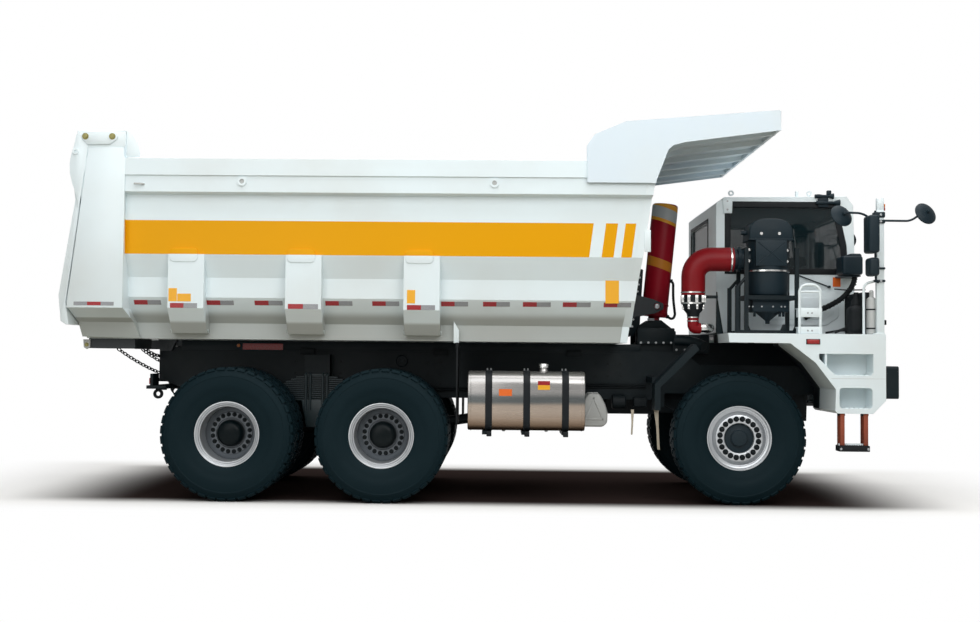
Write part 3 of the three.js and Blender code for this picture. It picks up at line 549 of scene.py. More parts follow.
def slab(name, outline, depth, bevel=0.004, segments=2):  # an outline pushed out along depth
    points = [Vector(point) for point in outline]
    piece = startLine(name, points[0])
    drawLine(points)
    bpy.ops.mesh.select_all(action="SELECT")
    bpy.ops.mesh.edge_face_add()
    bpy.ops.mesh.extrude_region_move(TRANSFORM_OT_translate={"value": Vector(depth)})
    endEdit()
    return rounded(piece, bevel, segments) if bevel else piece


def block(name, low, high, bevel=0.004, segments=2):
    deselectAll()
    low, high = Vector(low), Vector(high)
    bpy.ops.mesh.primitive_cube_add(size=1, location=(low + high) / 2, scale=high - low)
    piece = bpy.context.object
    piece.name = name
    settle(piece)
    return rounded(piece, bevel, segments)


def turned(name, profile, centre, axis, steps):  # profile of (radius, distance along the axis)
    axis = Vector(axis).normalized()
    side = axis.orthogonal().normalized()
    points = [Vector(centre) + side * radius + axis * along for radius, along in profile]
    piece = startLine(name, points[0])
    drawLine(points)
    bpy.ops.mesh.select_all(action="SELECT")
    bpy.ops.mesh.spin(steps=steps, angle=2 * math.pi, center=centre, axis=axis)
    endEdit()
    return piece


def cornered(points, bend):  # bend points of a bar, as pairs of curve handles
    points = [Vector(point) for point in points]
    made = [(points[0], points[0], points[0].lerp(points[1], 0.3))]
    for before, here, after in zip(points, points[1:], points[2:]):
        back, ahead = before - here, after - here
        reach = min(bend, back.length * 0.49, ahead.length * 0.49)
        enter, leave = here + back.normalized() * reach, here + ahead.normalized() * reach
        made.append((enter + back.normalized() * 0.01, enter, enter.lerp(here, 0.55)))
        made.append((leave.lerp(here, 0.55), leave, leave + ahead.normalized() * 0.01))
    made.append((points[-1].lerp(points[-2], 0.3), points[-1], points[-1]))
    return made


def tube(name, points, radius, bend=0.04, sides=3, steps=5):
    deselectAll()
    bpy.ops.curve.primitive_bezier_curve_add(location=(0, 0, 0))
    piece = bpy.context.object
    piece.name = name
    piece.data.dimensions = "3D"
    spline = piece.data.splines[0]
    handles = cornered(points, bend)
    if len(handles) > 2:
        spline.bezier_points.add(len(handles) - 2)
    for point, (left, here, right) in zip(spline.bezier_points, handles):
        point.handle_left_type = point.handle_right_type = "FREE"
        point.handle_left, point.co, point.handle_right = left, here, right
    spline.resolution_u = steps
    piece.data.bevel_depth = radius
    piece.data.bevel_resolution = sides
    piece.data.use_fill_caps = True
    bpy.ops.object.convert(target="MESH")
    piece = bpy.context.object
    editAll(piece)
    endEdit()
    return piece


def copied(piece, name, move):
    twin = piece.copy()
    twin.data = piece.data.copy()
    twin.name = name
    bpy.context.scene.collection.objects.link(twin)
    twin.data.transform(move)
    if move.determinant() < 0:
        editAll(twin)
        bpy.ops.mesh.flip_normals()
        bpy.ops.object.mode_set(mode="OBJECT")
    return twin


def joined(name, pieces):
    pick(*pieces)
    if len(pieces) > 1:
        bpy.ops.object.join()
    pieces[0].name = name
    return pieces[0]


def mirroredY(piece, name):
    return copied(piece, name, Matrix.Scale(-1, 4, (0, 1, 0)))


def repeated(name, piece, moves):  # the piece itself and a copy at each move
    copies = [copied(piece, f"{name}_{i}", Matrix.Translation(move)) for i, move in enumerate(moves)]
    bpy.data.objects.remove(piece)
    return joined(name, copies)


def boltHead(name, place, axis, size, height=None):
    height = height or size * 0.55
    axis = Vector(axis).normalized()
    deselectAll()
    turn = axis.to_track_quat("Z", "Y").to_euler()
    bpy.ops.mesh.primitive_cylinder_add(vertices=6, radius=size, depth=height,
                                        location=Vector(place) + axis * height * 0.5, rotation=turn)
    piece = bpy.context.object
    piece.name = name
    settle(piece)
    editFaces(piece, lambda face: face.normal.dot(axis) > 0.9)
    bpy.ops.mesh.inset(thickness=size * 0.16, depth=size * 0.12)
    endEdit()
    rim, thick = size * 1.35, size * 0.18
    washer = turned("washer", [(0, 0), (rim, 0), (rim, thick), (0, thick)], place, axis, 12)
    return joined(name, [piece, washer])


def bolts(name, places, axis, size, look, body, height=None):
    first = boltHead(name, (0, 0, 0), axis, size, height)
    return dress(repeated(name, first, [Vector(place) for place in places]), look, body, angle=30)


# CAD pieces whose shape is right: their edges are eased on a copy
def eased(node, look, width, segments=2):
    source = frame["nodes"][node]
    piece = source.copy()
    piece.data = source.data.copy()
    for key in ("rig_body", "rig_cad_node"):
        del piece[key]
    piece.parent = None
    piece.name = f"{node}_finished"
    bpy.context.scene.collection.objects.link(piece)
    editAll(piece)
    bpy.ops.mesh.remove_doubles(threshold=0.0001)
    bpy.ops.mesh.dissolve_limited(angle_limit=math.radians(1.0))
    bpy.ops.object.mode_set(mode="OBJECT")
    rounded(piece, width, segments, 14)
    return dress(piece, look, bodyOf[node], node, weighted=True)


bodyOf = {node: body for body, nodes in frame["record"]["behaviour"]["bodies"].items() for node in nodes}
easedNodes = {
    "bedPaint": ("bed_side_right", "bed_side_left"),
    "wallPaint": ("bed_front_wall",),
    "floorPaint": ("bed_floor",),
    "deckPaint": ("deck_right", "deck_left"),
    "canopyPaint": ("canopy",),
    "paint": ("cab_floor", "cab_front", "cab_rear_wall",
              "cab_right_wall", "cab_left_wall", "cab_roof", "cab_door"),
    "chassis": ("frame", "front_bumper", "air_filter_frame"),
    "cast": ("engine_block", "gearbox_and_shaft", "front_axle", "mid_axle", "rear_axle", "knuckle_right",
             "knuckle_left", "tie_rod"),
    "hoist": ("hoist_stage_1",),
    "chrome": ("hoist_stage_2", "hoist_stage_3", "hoist_stage_4"),
    "glass": ("windscreen", "rear_window", "right_window", "door_window"),
}


easedWidths = {"cab_roof": 0.018, "glass": 0.002}


def makeEased():
    for look, nodes in easedNodes.items():
        for node in nodes:
            eased(node, look, easedWidths.get(node, easedWidths.get(look, 0.007)))
    print("CAD pieces finished")


# Wheels are drawn at the right of the truck with the axle at X 0, then copied to their places
tyre = {"radius": 0.7465, "groove": 0.017, "pitches": 40, "parts": 4, "outerY": 1.525, "innerY": 1.025,
        "frontY": 1.235, "axles": {"rear": -1.723, "mid": 0.0, "front": 4.01},
        "wall": ((0.322, 0.126), (0.35, 0.15), (0.372, 0.172), (0.392, 0.18), (0.4, 0.186), (0.45, 0.199),
                 (0.5, 0.2075), (0.505, 0.2105), (0.555, 0.214), (0.605, 0.2145), (0.64, 0.2115),
                 (0.646, 0.215), (0.668, 0.211), (0.674, 0.206), (0.69, 0.201), (0.708, 0.193)),
        "crown": ((0.727, 0.178), (0.7295, 0.15), (0.7295, 0.086), (0.7295, 0.072), (0.7295, 0.009))}


def wheelCentre(y):
    return Vector((0, -y, tyre["radius"]))


def makeTyre(name, middle):
    half = [*tyre["wall"], *tyre["crown"]]
    profile = [(radius, middle + off) for radius, off in half]
    profile += [(radius, middle - off) for radius, off in reversed(half)]
    steps = tyre["pitches"] * tyre["parts"]
    piece = turned(name, [*profile, profile[0]], wheelCentre(0), (0, -1, 0), steps)
    side = Vector((0, -1, 0)).orthogonal().normalized()
    across = Vector((0, -1, 0)).cross(side)

    def isBlock(face):
        out = face.center - wheelCentre(0)
        off = -out.y - middle
        turn = math.atan2(out.dot(across), out.dot(side)) / (2 * math.pi)
        part = int(turn * steps + steps) % tyre["parts"]
        tread = math.hypot(out.x, out.z) > 0.699
        shoulder = abs(off) > 0.08 and part != 0
        centre = 0.01 < abs(off) < 0.07 and part != (1 if off > 0 else 2)
        return tread and (shoulder or centre)

    editFaces(piece, isBlock)
    bpy.ops.mesh.extrude_region_shrink_fatten(TRANSFORM_OT_shrink_fatten={"value": tyre["groove"]})
    endEdit()
    return piece


# Rims as closed profiles of (radius, distance out from the middle of the truck)
rearRim = {"ring": ((0.3, 1.402), (0.3, 1.618), (0.304, 1.64), (0.312, 1.652), (0.318, 1.653),
                    (0.324, 1.661),
                    (0.334, 1.672), (0.34, 1.673), (0.347, 1.684), (0.356, 1.69), (0.364, 1.689),
                    (0.368, 1.683),
                    (0.366, 1.676), (0.352, 1.672), (0.318, 1.64), (0.316, 1.6), (0.316, 0.876),
                    (0.368, 0.873),
                    (0.368, 0.86), (0.345, 0.86), (0.3, 0.91)),
           "disc": ((0.15, 1.4), (0.168, 1.402), (0.174, 1.412), (0.236, 1.412), (0.244, 1.402),
                    (0.286, 1.392),
                    (0.304, 1.38), (0.304, 1.366), (0.15, 1.366)),
           "hub": ((0, 1.566), (0.04, 1.565), (0.08, 1.56), (0.11, 1.55), (0.13, 1.535), (0.143, 1.512),
                   (0.15, 1.48), (0.152, 1.4), (0.152, 0.84),
                   (0.076, 0.835), (0.076, 1.49), (0, 1.49)),
           "studs": 20, "studCircle": 0.211, "studFace": 1.412, "studSize": 0.019}
frontRim = {"ring": ((0.3, 1.312), (0.3, 1.352), (0.305, 1.362), (0.314, 1.364), (0.318, 1.374),
                     (0.33, 1.38),
                     (0.336, 1.382), (0.342, 1.392), (0.35, 1.399), (0.362, 1.4), (0.368, 1.394),
                     (0.366, 1.387),
                     (0.35, 1.384), (0.318, 1.366), (0.316, 1.34), (0.316, 1.086), (0.368, 1.083),
                     (0.368, 1.07), (0.345, 1.07), (0.3, 1.1)),
            "disc": ((0.166, 1.33), (0.166, 1.376), (0.172, 1.385), (0.182, 1.389), (0.252, 1.389),
                     (0.262, 1.384),
                     (0.284, 1.35), (0.302, 1.338), (0.302, 1.322), (0.27, 1.322), (0.24, 1.366),
                     (0.19, 1.366),
                     (0.18, 1.33)),
            "hub": ((0, 1.396), (0.06, 1.396), (0.084, 1.392), (0.092, 1.384), (0.094, 1.356),
                    (0.112, 1.35),
                    (0.166, 1.344), (0.166, 1.316), (0.13, 1.31), (0.13, 1.112), (0.066, 1.11),
                    (0.066, 1.326),
                    (0, 1.326)),
            "studs": 20, "studCircle": 0.218, "studFace": 1.389, "studSize": 0.0185}


def ringOf(name, profile, steps=72):
    return turned(name, [*profile, profile[0]], wheelCentre(0), (0, -1, 0), steps)


def studsOf(name, rim, cupped):
    size, face = rim["studSize"], rim["studFace"]
    nut = boltHead(name, (0, 0, 0), (0, -1, 0), size, size * 1.3)
    stem = turned("stem", [(0, 0), (size * 0.55, 0), (size * 0.55, size * 1.9), (size * 0.4, size * 2.1),
                           (0, size * 2.1)], (0, 0, 0), (0, -1, 0), 10)
    nut = joined(name, [nut, stem])
    if cupped:
        inner, outer = size * 1.2, size * 1.75
        profile = [(inner, 0), (size * 1.5, 0.002), (size * 1.62, 0.005), (outer, 0.001), (outer, -0.002),
                   (inner, -0.002), (inner, 0)]
        nut = joined(name, [nut, turned("cup", profile, (0, 0, 0), (0, -1, 0), 14)])
    places = []
    for i in range(rim["studs"]):
        angle = 2 * math.pi * (i + 0.5) / rim["studs"]
        around = Vector((math.cos(angle), 0, math.sin(angle))) * rim["studCircle"]
        places.append(wheelCentre(face) + around)
    return repeated(name, nut, places)


def placeWheel(axle, drawn):
    shift = Matrix.Translation(spot(tyre["axles"][axle], 0, 0))
    kind = "wheel" if axle == "front" else "wheels"
    for side, flip in (("right", 1), ("left", -1)):
        for piece, look, part in drawn:
            copy = copied(piece, f"{axle}_{part}_{side}_finished", shift @ Matrix.Scale(flip, 4, (0, 1, 0)))
            replaced = [f"{axle}_{part}_{side}"] if part.startswith(("tyre", "rim")) else []
            dress(copy, look, f"{axle}_{kind}_{side}", *replaced, angle=30)


def makeWheels():
    front = [(makeTyre("front_tyre", tyre["frontY"]), "tyre", "tyre"),
             (ringOf("front_ring", frontRim["ring"]), "rim", "rim"),
             (ringOf("front_disc", frontRim["disc"]), "rim", "disc"),
             (turned("front_hub", frontRim["hub"], wheelCentre(0), (0, -1, 0), 48), "plastic", "hub"),
             (studsOf("front_studs", frontRim, True), "cast", "studs")]
    placeWheel("front", front)
    twin = joined("twin_tyres", [makeTyre(name, tyre[name]) for name in ("outerY", "innerY")])
    rear = [(twin, "tyre", "tyres"), (ringOf("rear_ring", rearRim["ring"]), "rim", "rims"),
            (ringOf("rear_disc", rearRim["disc"]), "rimShaded", "disc"),
            (turned("rear_hub", rearRim["hub"], wheelCentre(0), (0, -1, 0), 48), "glossy", "hub"),
            (studsOf("rear_studs", rearRim, False), "cast", "studs")]
    placeWheel("mid", rear)
    placeWheel("rear", rear)
    for piece, *_ in front + rear:
        bpy.data.objects.remove(piece)
    print("wheels made")


# Springs between the rear axles: leaves that shorten upward, clamped on a saddle
suspension = {"x": -0.8615, "leaves": 12, "length": 0.93, "shorter": 0.062, "thick": 0.0165,
              "pitch": 0.0245,
              "base": 1.1, "droop": 0.092, "y": (0.52, 0.64), "saddleY": (0.505, 0.655)}


def makeSuspension():
    y0, y1 = suspension["y"]
    s0, s1 = suspension["saddleY"]
    x = suspension["x"]
    made = []
    for i in range(suspension["leaves"]):
        half = suspension["length"] - i * suspension["shorter"]
        steps = [half * (k / 7 - 1) for k in range(15)]
        low = suspension["base"] + i * suspension["pitch"]
        curve = [(u, low - suspension["droop"] * u * u) for u in steps]
        outline = [spot(x + u, -y1, z) for u, z in curve]
        outline += [spot(x + u, -y1, z + suspension["thick"]) for u, z in reversed(curve)]
        made.append(slab(f"leaf_{i}", outline, (0, y1 - y0, 0), 0.002, 1))
    low = [(-0.18, 1.105), (-0.12, 0.78), (0.12, 0.78), (0.18, 1.105)]
    made.append(slab("saddle", [spot(x + u, -s1, z) for u, z in low], (0, s1 - s0, 0), 0.012))
    made.append(block("clamp_plate", spot(x - 0.15, -s1, 1.386), spot(x + 0.15, -s0, 1.412), 0.006))
    for u in (-0.42, 0.42):
        made.append(block(f"guide_{u}", spot(x + u - 0.02, -y1 - 0.014, 1.1),
                          spot(x + u + 0.02, -y0 + 0.014, 1.26), 0.004))
    for u in (-0.125, -0.075, 0.075, 0.125):
        rod = [spot(x + u, -s1 - 0.005, 0.98), spot(x + u, -s1 - 0.005, 1.425),
               spot(x + u, -s0 + 0.005, 1.425), spot(x + u, -s0 + 0.005, 0.98)]
        made.append(tube(f"rod_{u}", rod, 0.014, 0.05))
    half = joined("suspension_half", made)
    cross = turned("cross_tube", [(0, -0.65), (0.085, -0.65), (0.095, -0.63), (0.095, 0.63), (0.085, 0.65),
                                  (0, 0.65)], spot(x, 0, 0.93), (0, 1, 0), 32)
    whole = joined("tandem_suspension_finished", [half, mirroredY(half, "other_half"), cross])
    dress(whole, "leaf", "chassis", "tandem_suspension", angle=30)
    print("suspension made")


# Tanks
fuel = {"x": (0.956, 2.26), "y": (-1.7, -1.041), "z": (0.818, 1.477), "corner": 0.15,
        "straps": (1.19, 1.612, 2.042), "strapWidth": 0.076, "neck": (1.805, -1.48),
        "neckShape": ((0, 0), (0.056, 0), (0.05, 0.012), (0.048, 0.04), (0, 0.04)),
        "capShape": ((0, 0.092), (0.03, 0.092), (0.036, 0.086), (0.056, 0.084), (0.06, 0.078),
                     (0.06, 0.042),
                     (0.056, 0.038), (0, 0.038)),
        "drains": (1.36, 1.84),
        "stickers": (("tank_sticker_orange", "orange", (1.303, 1.448), (1.204, 1.28)),
                     ("tank_sticker_red", "red", (1.735, 1.868), (1.327, 1.373)),
                     ("tank_sticker_yellow", "yellow", (1.735, 1.868), (1.275, 1.3265)))}


def roundRect(x, ys, zs, corner, grow=0.0, steps=8):  # corner points of a rounded section across the truck
    (y0, y1), (z0, z1) = ys, zs
    centres = ((y1 - corner, z0 + corner, -90), (y1 - corner, z1 - corner, 0),
               (y0 + corner, z1 - corner, 90),
               (y0 + corner, z0 + corner, 180))
    points = []
    for cy, cz, start in centres:
        for i in range(steps + 1):
            angle = math.radians(start + 90 * i / steps)
            reach = corner + grow
            points.append(spot(x, cy + reach * math.cos(angle), cz + reach * math.sin(angle)))
    return points


def sticker(name, look, xs, zs, face, body, thick=0.0025):  # a thin blank plate on a side face
    low = spot(xs[0], face - thick, zs[0])
    high = spot(xs[1], face + 0.001, zs[1])
    return dress(block(name, low, high, 0.0008, 1), look, body)


def makeFuelTank():
    x0, x1 = fuel["x"]
    section = (fuel["y"], fuel["z"], fuel["corner"])
    face, top = fuel["y"][0], fuel["z"][1]
    body = slab("fuel_tank_finished", roundRect(x0, *section), (x1 - x0, 0, 0), 0.014, 3)
    neckX, neckY = fuel["neck"]
    neck = turned("neck", fuel["neckShape"], spot(neckX, neckY, top), (0, 0, 1), 32)
    beads = [slab(f"bead_{x}", roundRect(x, *section, grow=0.004), (0.012, 0, 0), 0.003)
             for x in (x0 + 0.028, x1 - 0.04)]
    dress(joined("fuel_tank_finished", [body, neck, *beads]), "tankSheet", "chassis", "fuel_tank", angle=30)
    dress(turned("fuel_cap", fuel["capShape"], spot(neckX, neckY, top), (0, 0, 1), 32), "steel", "chassis")
    wide = fuel["strapWidth"]
    straps, nuts = [], []
    for x in fuel["straps"]:
        straps.append(slab(f"strap_{x}", roundRect(x - wide / 2, *section, grow=0.007), (wide, 0, 0),
                           0.002))
        straps.append(block(f"foot_{x}", spot(x - 0.022, -1.66, 0.752), spot(x + 0.034, -1.56, 0.812),
                            0.006))
        nuts += [spot(x - 0.02, -1.25, top + 0.007), spot(x + 0.02, -1.25, top + 0.007)]
    dress(joined("fuel_tank_straps", straps), "trim", "chassis")
    bolts("strap_bolts", nuts, (0, 0, 1), 0.009, "bolt", "chassis", 0.022)
    for name, look, xs, zs in fuel["stickers"]:
        sticker(name, look, xs, zs, face, "chassis", 0.003)
    drain = turned("tank_drain", [(0, 0), (0.02, 0), (0.02, 0.015), (0.012, 0.022), (0, 0.022)],
                   (0, 0, 0), (0, 0, -1), 10)
    dress(repeated("tank_drains", drain, [spot(x, -1.37, fuel["z"][0]) for x in fuel["drains"]]), "bolt",
          "chassis")


oilTank = {"x": 1.08, "length": 1.03, "section": ((1.041, 1.65), (0.818, 1.477), 0.06),
           "ribs": (1.18, 1.55, 1.96)}


def makeOilTank():
    section = oilTank["section"]
    body = slab("hydraulic_tank_finished", roundRect(oilTank["x"], *section), (oilTank["length"], 0, 0),
                0.014, 3)
    ribs = [slab(f"rib_{x}", roundRect(x, *section, grow=0.006), (0.05, 0, 0), 0.003)
            for x in oilTank["ribs"]]
    cap = turned("oil_cap", [(0, 0.066), (0.046, 0.066), (0.058, 0.056), (0.06, 0.012), (0.052, 0), (0, 0)],
                 spot(1.3, 1.35, 1.477), (0, 0, 1), 28)
    whole = joined("hydraulic_tank_finished", [body, *ribs, cap])
    dress(whole, "chassis", "chassis", "hydraulic_tank", angle=30)
    glass = block("sight_glass", spot(1.7, 1.65, 1.05), spot(1.735, 1.662, 1.32), 0.004)
    dress(glass, "lampAmber", "chassis")


# Small pressed tank behind the fuel tank, with a three-sided emboss on its face
smallTank = {"y": (-0.96, -0.5), "outline": ((2.24, 0.88), (2.29, 0.836), (2.51, 0.836), (2.562, 0.885),
                                                (2.566, 1.0), (2.54, 1.09), (2.49, 1.19), (2.46, 1.225),
                                                (2.35, 1.225), (2.32, 1.19), (2.262, 1.09), (2.238, 1.0)),
             "emboss": ((2.405, 1.165), (2.3, 0.925), (2.51, 0.925)), "bar": 0.01}


def makeSmallTank():
    back, front = smallTank["y"][1], smallTank["y"][0]
    outline = [spot(x, front, z) for x, z in smallTank["outline"]]
    pieces = [slab("small_tank", outline, (0, back - front, 0), 0.022, 4)]
    middle = Vector((2.4, 0, 1.04))
    grown = [middle + (Vector((x, 0, z)) - middle) * 1.03 for x, z in smallTank["outline"]]
    seam = [spot(p.x, (back + front) / 2, p.z) for p in grown]
    pieces.append(slab("small_tank_seam", seam, (0, 0.01, 0), 0.002))
    corners = [Vector((x, 0, z)) for x, z in smallTank["emboss"]]
    for i, corner in enumerate(corners):
        after = corners[(i + 1) % 3]
        along = (after - corner).normalized() * smallTank["bar"]
        flat = Vector((-along.z, 0, along.x))
        ends = [corner - along - flat, after + along - flat, after + along + flat, corner - along + flat]
        outline = [spot(p.x, front + 0.002, p.z) for p in ends]
        pieces.append(slab(f"crease_{i}", outline, (0, -0.008, 0), 0.003))
    dress(joined("urea_tank_finished", pieces), "greySteel", "chassis", "urea_tank", angle=30)
    print("tanks made")


# Hoist tube, turned about its own axis
def hoistAt(along, y=0.0, ahead=0.0):
    lean = math.radians(hoist["lean"])
    x, z = hoist["trunnion"]
    return spot(x + along * math.sin(lean) + ahead * math.cos(lean), y,
                z + along * math.cos(lean) - ahead * math.sin(lean))


hoistTube = {"cover": ((0, 1.275), (0.11, 1.275), (0.138, 1.271), (0.15, 1.262), (0.157, 1.245),
                       (0.1575, 1.215),
                       (0.1575, 0.045), (0.163, 0.038), (0.163, 0.02), (0.1575, 0.014), (0.1575, -0.06),
                       (0.164, -0.066), (0.164, -0.108), (0.158, -0.118), (0.148, -0.118), (0.148, 1.236),
                       (0.066, 1.236), (0, 1.236)),
             "pin": ((0, 0.15), (0.035, 0.15), (0.035, 0.236), (0.028, 0.243), (0, 0.243))}


def makeHoist():
    axis = hoistAt(1) - hoistAt(0)
    ahead = hoistAt(0, 0, 1) - hoistAt(0)
    cover = turned("hoist_cover_finished", hoistTube["cover"], hoistAt(0), axis, 48)
    pins = [turned(f"pin_{side}", hoistTube["pin"], hoistAt(0), (0, side, 0), 24) for side in (-1, 1)]
    dress(joined("hoist_cover_finished", [cover, *pins]), "hoist", "hoist_cover", "hoist_cover", angle=30)
    pinCap = turned("pin_cap", [(0, 0.004), (0.02, 0.004), (0.03, 0.001), (0.03, 0), (0, 0)],
                    hoistAt(0, -0.243), (0, -1, 0), 20)
    dress(joined("hoist_pin_caps", [pinCap, mirroredY(pinCap, "pin_cap_left")]), "bolt", "hoist_cover")
    way = ((0.335, 0.15), (0.315, 0.185), (0.12, 0.205), (-0.085, 0.25), (-0.135, 0.215), (-0.105, 0.158))
    hose = tube("hoist_hose", [hoistAt(along, -0.06, off) for along, off in way], 0.016, 0.05)
    collars = [turned(f"collar_{along}", [(0, 0), (0.023, 0), (0.023, 0.035), (0, 0.035)],
                      hoistAt(along, -0.06, 0.14), ahead, 12) for along in (0.335, -0.105)]
    dress(joined("hoist_hose", [hose, *collars]), "trim", "hoist_cover")
    tab = block("hoist_tab", spot(3.104, -0.2, 2.09), spot(3.185, -0.16, 2.122), 0.004)
    dress(tab, "silver", "hoist_cover")


# The front wall's bracket for the hoist, with a row of bolts along its edge
stiffener = {"low": 1.9, "high": 2.76, "depth": 0.175, "y": (0.196, 0.244)}


def wallFace(z):
    return whitePaint["wallFoot"][0] + (z - whitePaint["wallFoot"][1]) * whitePaint["wallLean"]


def makeStiffeners():
    low, high = stiffener["low"], stiffener["high"]
    y0, y1 = stiffener["y"]
    deep = stiffener["depth"]
    outline = [(wallFace(low) - 0.005, low), (wallFace(high) - 0.005, high), (wallFace(high) + 0.03, high),
               (wallFace(high - 0.05) + deep, high - 0.05), (wallFace(2.05) + deep + 0.06, 2.05),
               (wallFace(low) + deep, low)]
    corners = [spot(x, -y1 + 0.012, z) for x, z in outline]
    right = slab("hoist_stiffeners", corners, (0, y1 - y0 - 0.024, 0), 0.004)
    dress(joined("hoist_stiffeners", [right, mirroredY(right, "stiffener_left")]), "chassis", "bed")
    heights = [2.02 + 0.085 * i for i in range(8)]
    places = [spot(wallFace(z) + deep - 0.03, -y1 + 0.012, z) for z in heights]
    bolts("stiffener_bolts", places, (0, -1, 0), 0.01, "bolt", "bed")
    print("hoist made")


# Reflective strips along the bed, red behind and silver ahead on each
strips = {"wall": ((-2.787, -2.483), (-1.969, -1.666), (-1.432, -1.118), (-0.639, -0.338), (-0.116, 0.185),
                   (0.652, 0.952), (1.118, 1.417), (1.561, 1.871), (2.004, 2.313), (2.457, 2.76)),
          "ribs": ((-2.34, -2.039), (-1.032, -0.699), (0.283, 0.592)), "ribFace": 1.875,
          "ribZ": (2.143, 2.197),
          "start": (-2.787, 2.183), "rise": 0.003, "height": 0.05, "thick": 0.003,
          "slope": ((1.6, 2.08), (1.74, 2.266)),
          "pillars": (-3.38, -3.23, -3.08, -2.936), "pillarFace": 1.985, "pillarZ": (2.159, 2.199),
          "stickers": (("sticker_rib_rear_a", (-2.359, -2.266), (2.215, 2.361), 1.875),
                       ("sticker_rib_rear_b", (-2.26, -2.11), (2.215, 2.301), 1.875),
                       ("sticker_rib_front", (0.282, 0.372), (2.215, 2.362), 1.875),
                       ("sticker_wall", (2.472, 2.622), (2.238, 2.504), 1.74))}


def wallOut(z):  # outer face of the bed side at a height
    (y0, z0), (y1, z1) = strips["slope"]
    return y0 + (y1 - y0) * min(1, max(0, (z - z0) / (z1 - z0)))


def stripOn(name, x0, x1, low, high, bottom, top):
    thick = strips["thick"]
    outline = [(x0, -bottom, low[0]), (x1, -bottom, low[1]), (x1, -top, high[1]), (x0, -top, high[0])]
    depth = (0, -thick, -thick * 0.6 if bottom < top else 0)
    return slab(name, [spot(*corner) for corner in outline], depth, 0.001, 1)


def makeStrips():
    startX, startZ = strips["start"]
    reds, silvers = [], []
    for x0, x1 in strips["wall"]:
        half = (x0 + x1) / 2
        for a, b, group in ((x0, half, reds), (half, x1, silvers)):
            low = [startZ + (x - startX) * strips["rise"] for x in (a, b)]
            high = [z + strips["height"] for z in low]
            group.append(stripOn(f"strip_{a}", a, b, low, high, wallOut(low[0]), wallOut(high[0])))
    face = strips["ribFace"]
    low, high = strips["ribZ"]
    for x0, x1 in strips["ribs"]:
        half = (x0 + x1) / 2
        for a, b, group in ((x0, half, reds), (half, x1, silvers)):
            group.append(stripOn(f"strip_{a}", a, b, (low, low), (high, high), face, face))
    face = strips["pillarFace"]
    low, high = strips["pillarZ"]
    for a, b, group in zip(strips["pillars"], strips["pillars"][1:], (silvers, reds, silvers)):
        group.append(stripOn(f"strip_{a}", a, b, (low, low), (high, high), face, face))
    for name, group, look in (("red_strips", reds, "red"), ("silver_strips", silvers, "silver")):
        right = joined(name, group)
        dress(joined(name, [right, mirroredY(right, f"{name}_left")]), look, "bed")
    for name, xs, zs, face in strips["stickers"]:
        sticker(name, "yellow", xs, zs, -face, "bed")
    print("strips made")


# Trim is written as tables: a look and parts for each piece, and how each part is made with its measures.
# X counts from the middle axle. Body, second side, smoothing and replaced node are given where they differ.
forward, upward, outward = (1, 0, 0), (0, 0, 1), (0, -1, 0)


def plate(name, y, outline, thick, *bevel):  # a flat outline of (x, z), pushed out along Y
    return slab(name, [(x, y, z) for x, z in outline], (0, thick, 0), *bevel)


def ringPlate(name, centre, axis, outer, inner, thick, steps=28):
    return turned(name, [(inner, 0), (outer, 0), (outer, thick), (inner, thick), (inner, 0)], centre,
                  axis, steps)


def bandOn(name, centre, axis, radius, width, thick=0.003):
    low, high = radius - 0.002, radius + thick
    profile = [(low, -width / 2), (high, -width / 2), (high, width / 2), (low, width / 2),
               (low, -width / 2)]
    return turned(name, profile, centre, axis, 40)


def sealOf(name, outline, depth, width):  # a rubber frame: a plate, inset, with its middle bridged open
    piece = slab(name, outline, depth, 0)
    normal = Vector(depth).normalized()
    editFaces(piece, lambda face: abs(face.normal.dot(normal)) > 0.9)
    bpy.ops.mesh.inset(thickness=width, depth=0)
    bpy.ops.mesh.bridge_edge_loops()
    endEdit()
    return rounded(piece, 0.003, 2)


def torus(name, place, turn, radius, wire, steps, scale=1):
    deselectAll()
    bpy.ops.mesh.primitive_torus_add(major_segments=steps[0], minor_segments=steps[1], major_radius=radius,
                                     minor_radius=wire)
    piece = bpy.context.object
    piece.name = name
    piece.scale = (scale, 1, 1)
    settle(piece)
    piece.data.transform(Matrix.Translation(place) @ turn)
    return piece


makers = {"block": block, "slab": slab, "plate": plate, "turned": turned, "tube": tube, "bolt": boltHead,
          "ring": ringPlate, "band": bandOn, "seal": sealOf, "torus": torus}


def makeTrim(stage, table, body="chassis", both=False):
    for name, piece in table.items():
        whole = joined(name, [makers[kind](name, *measures) for kind, *measures in piece["parts"]])
        if piece.get("both", both):
            whole = joined(name, [whole, mirroredY(whole, f"{name}_left")])
        whole.data.transform(Matrix.Translation((midX, 0, 0)))
        dress(whole, piece["look"], piece.get("body", body), *piece.get("nodes", ()),
              angle=piece.get("angle", 35))
    print(f"{stage} made")


def boltRows(places, size, axis=outward, *height):
    return [("bolt", place, axis, size, *height) for place in places]


def roundedFlat(across, up, corner, steps=5):  # corner points of a rounded rectangle
    (x0, x1), (z0, z1) = across, up
    points = []
    for cx, cz, start in ((x1 - corner, z0 + corner, -90), (x1 - corner, z1 - corner, 0),
                          (x0 + corner, z1 - corner, 90), (x0 + corner, z0 + corner, 180)):
        for i in range(steps + 1):
            angle = math.radians(start + 90 * i / steps)
            points.append((cx + corner * math.cos(angle), cz + corner * math.sin(angle)))
    return points


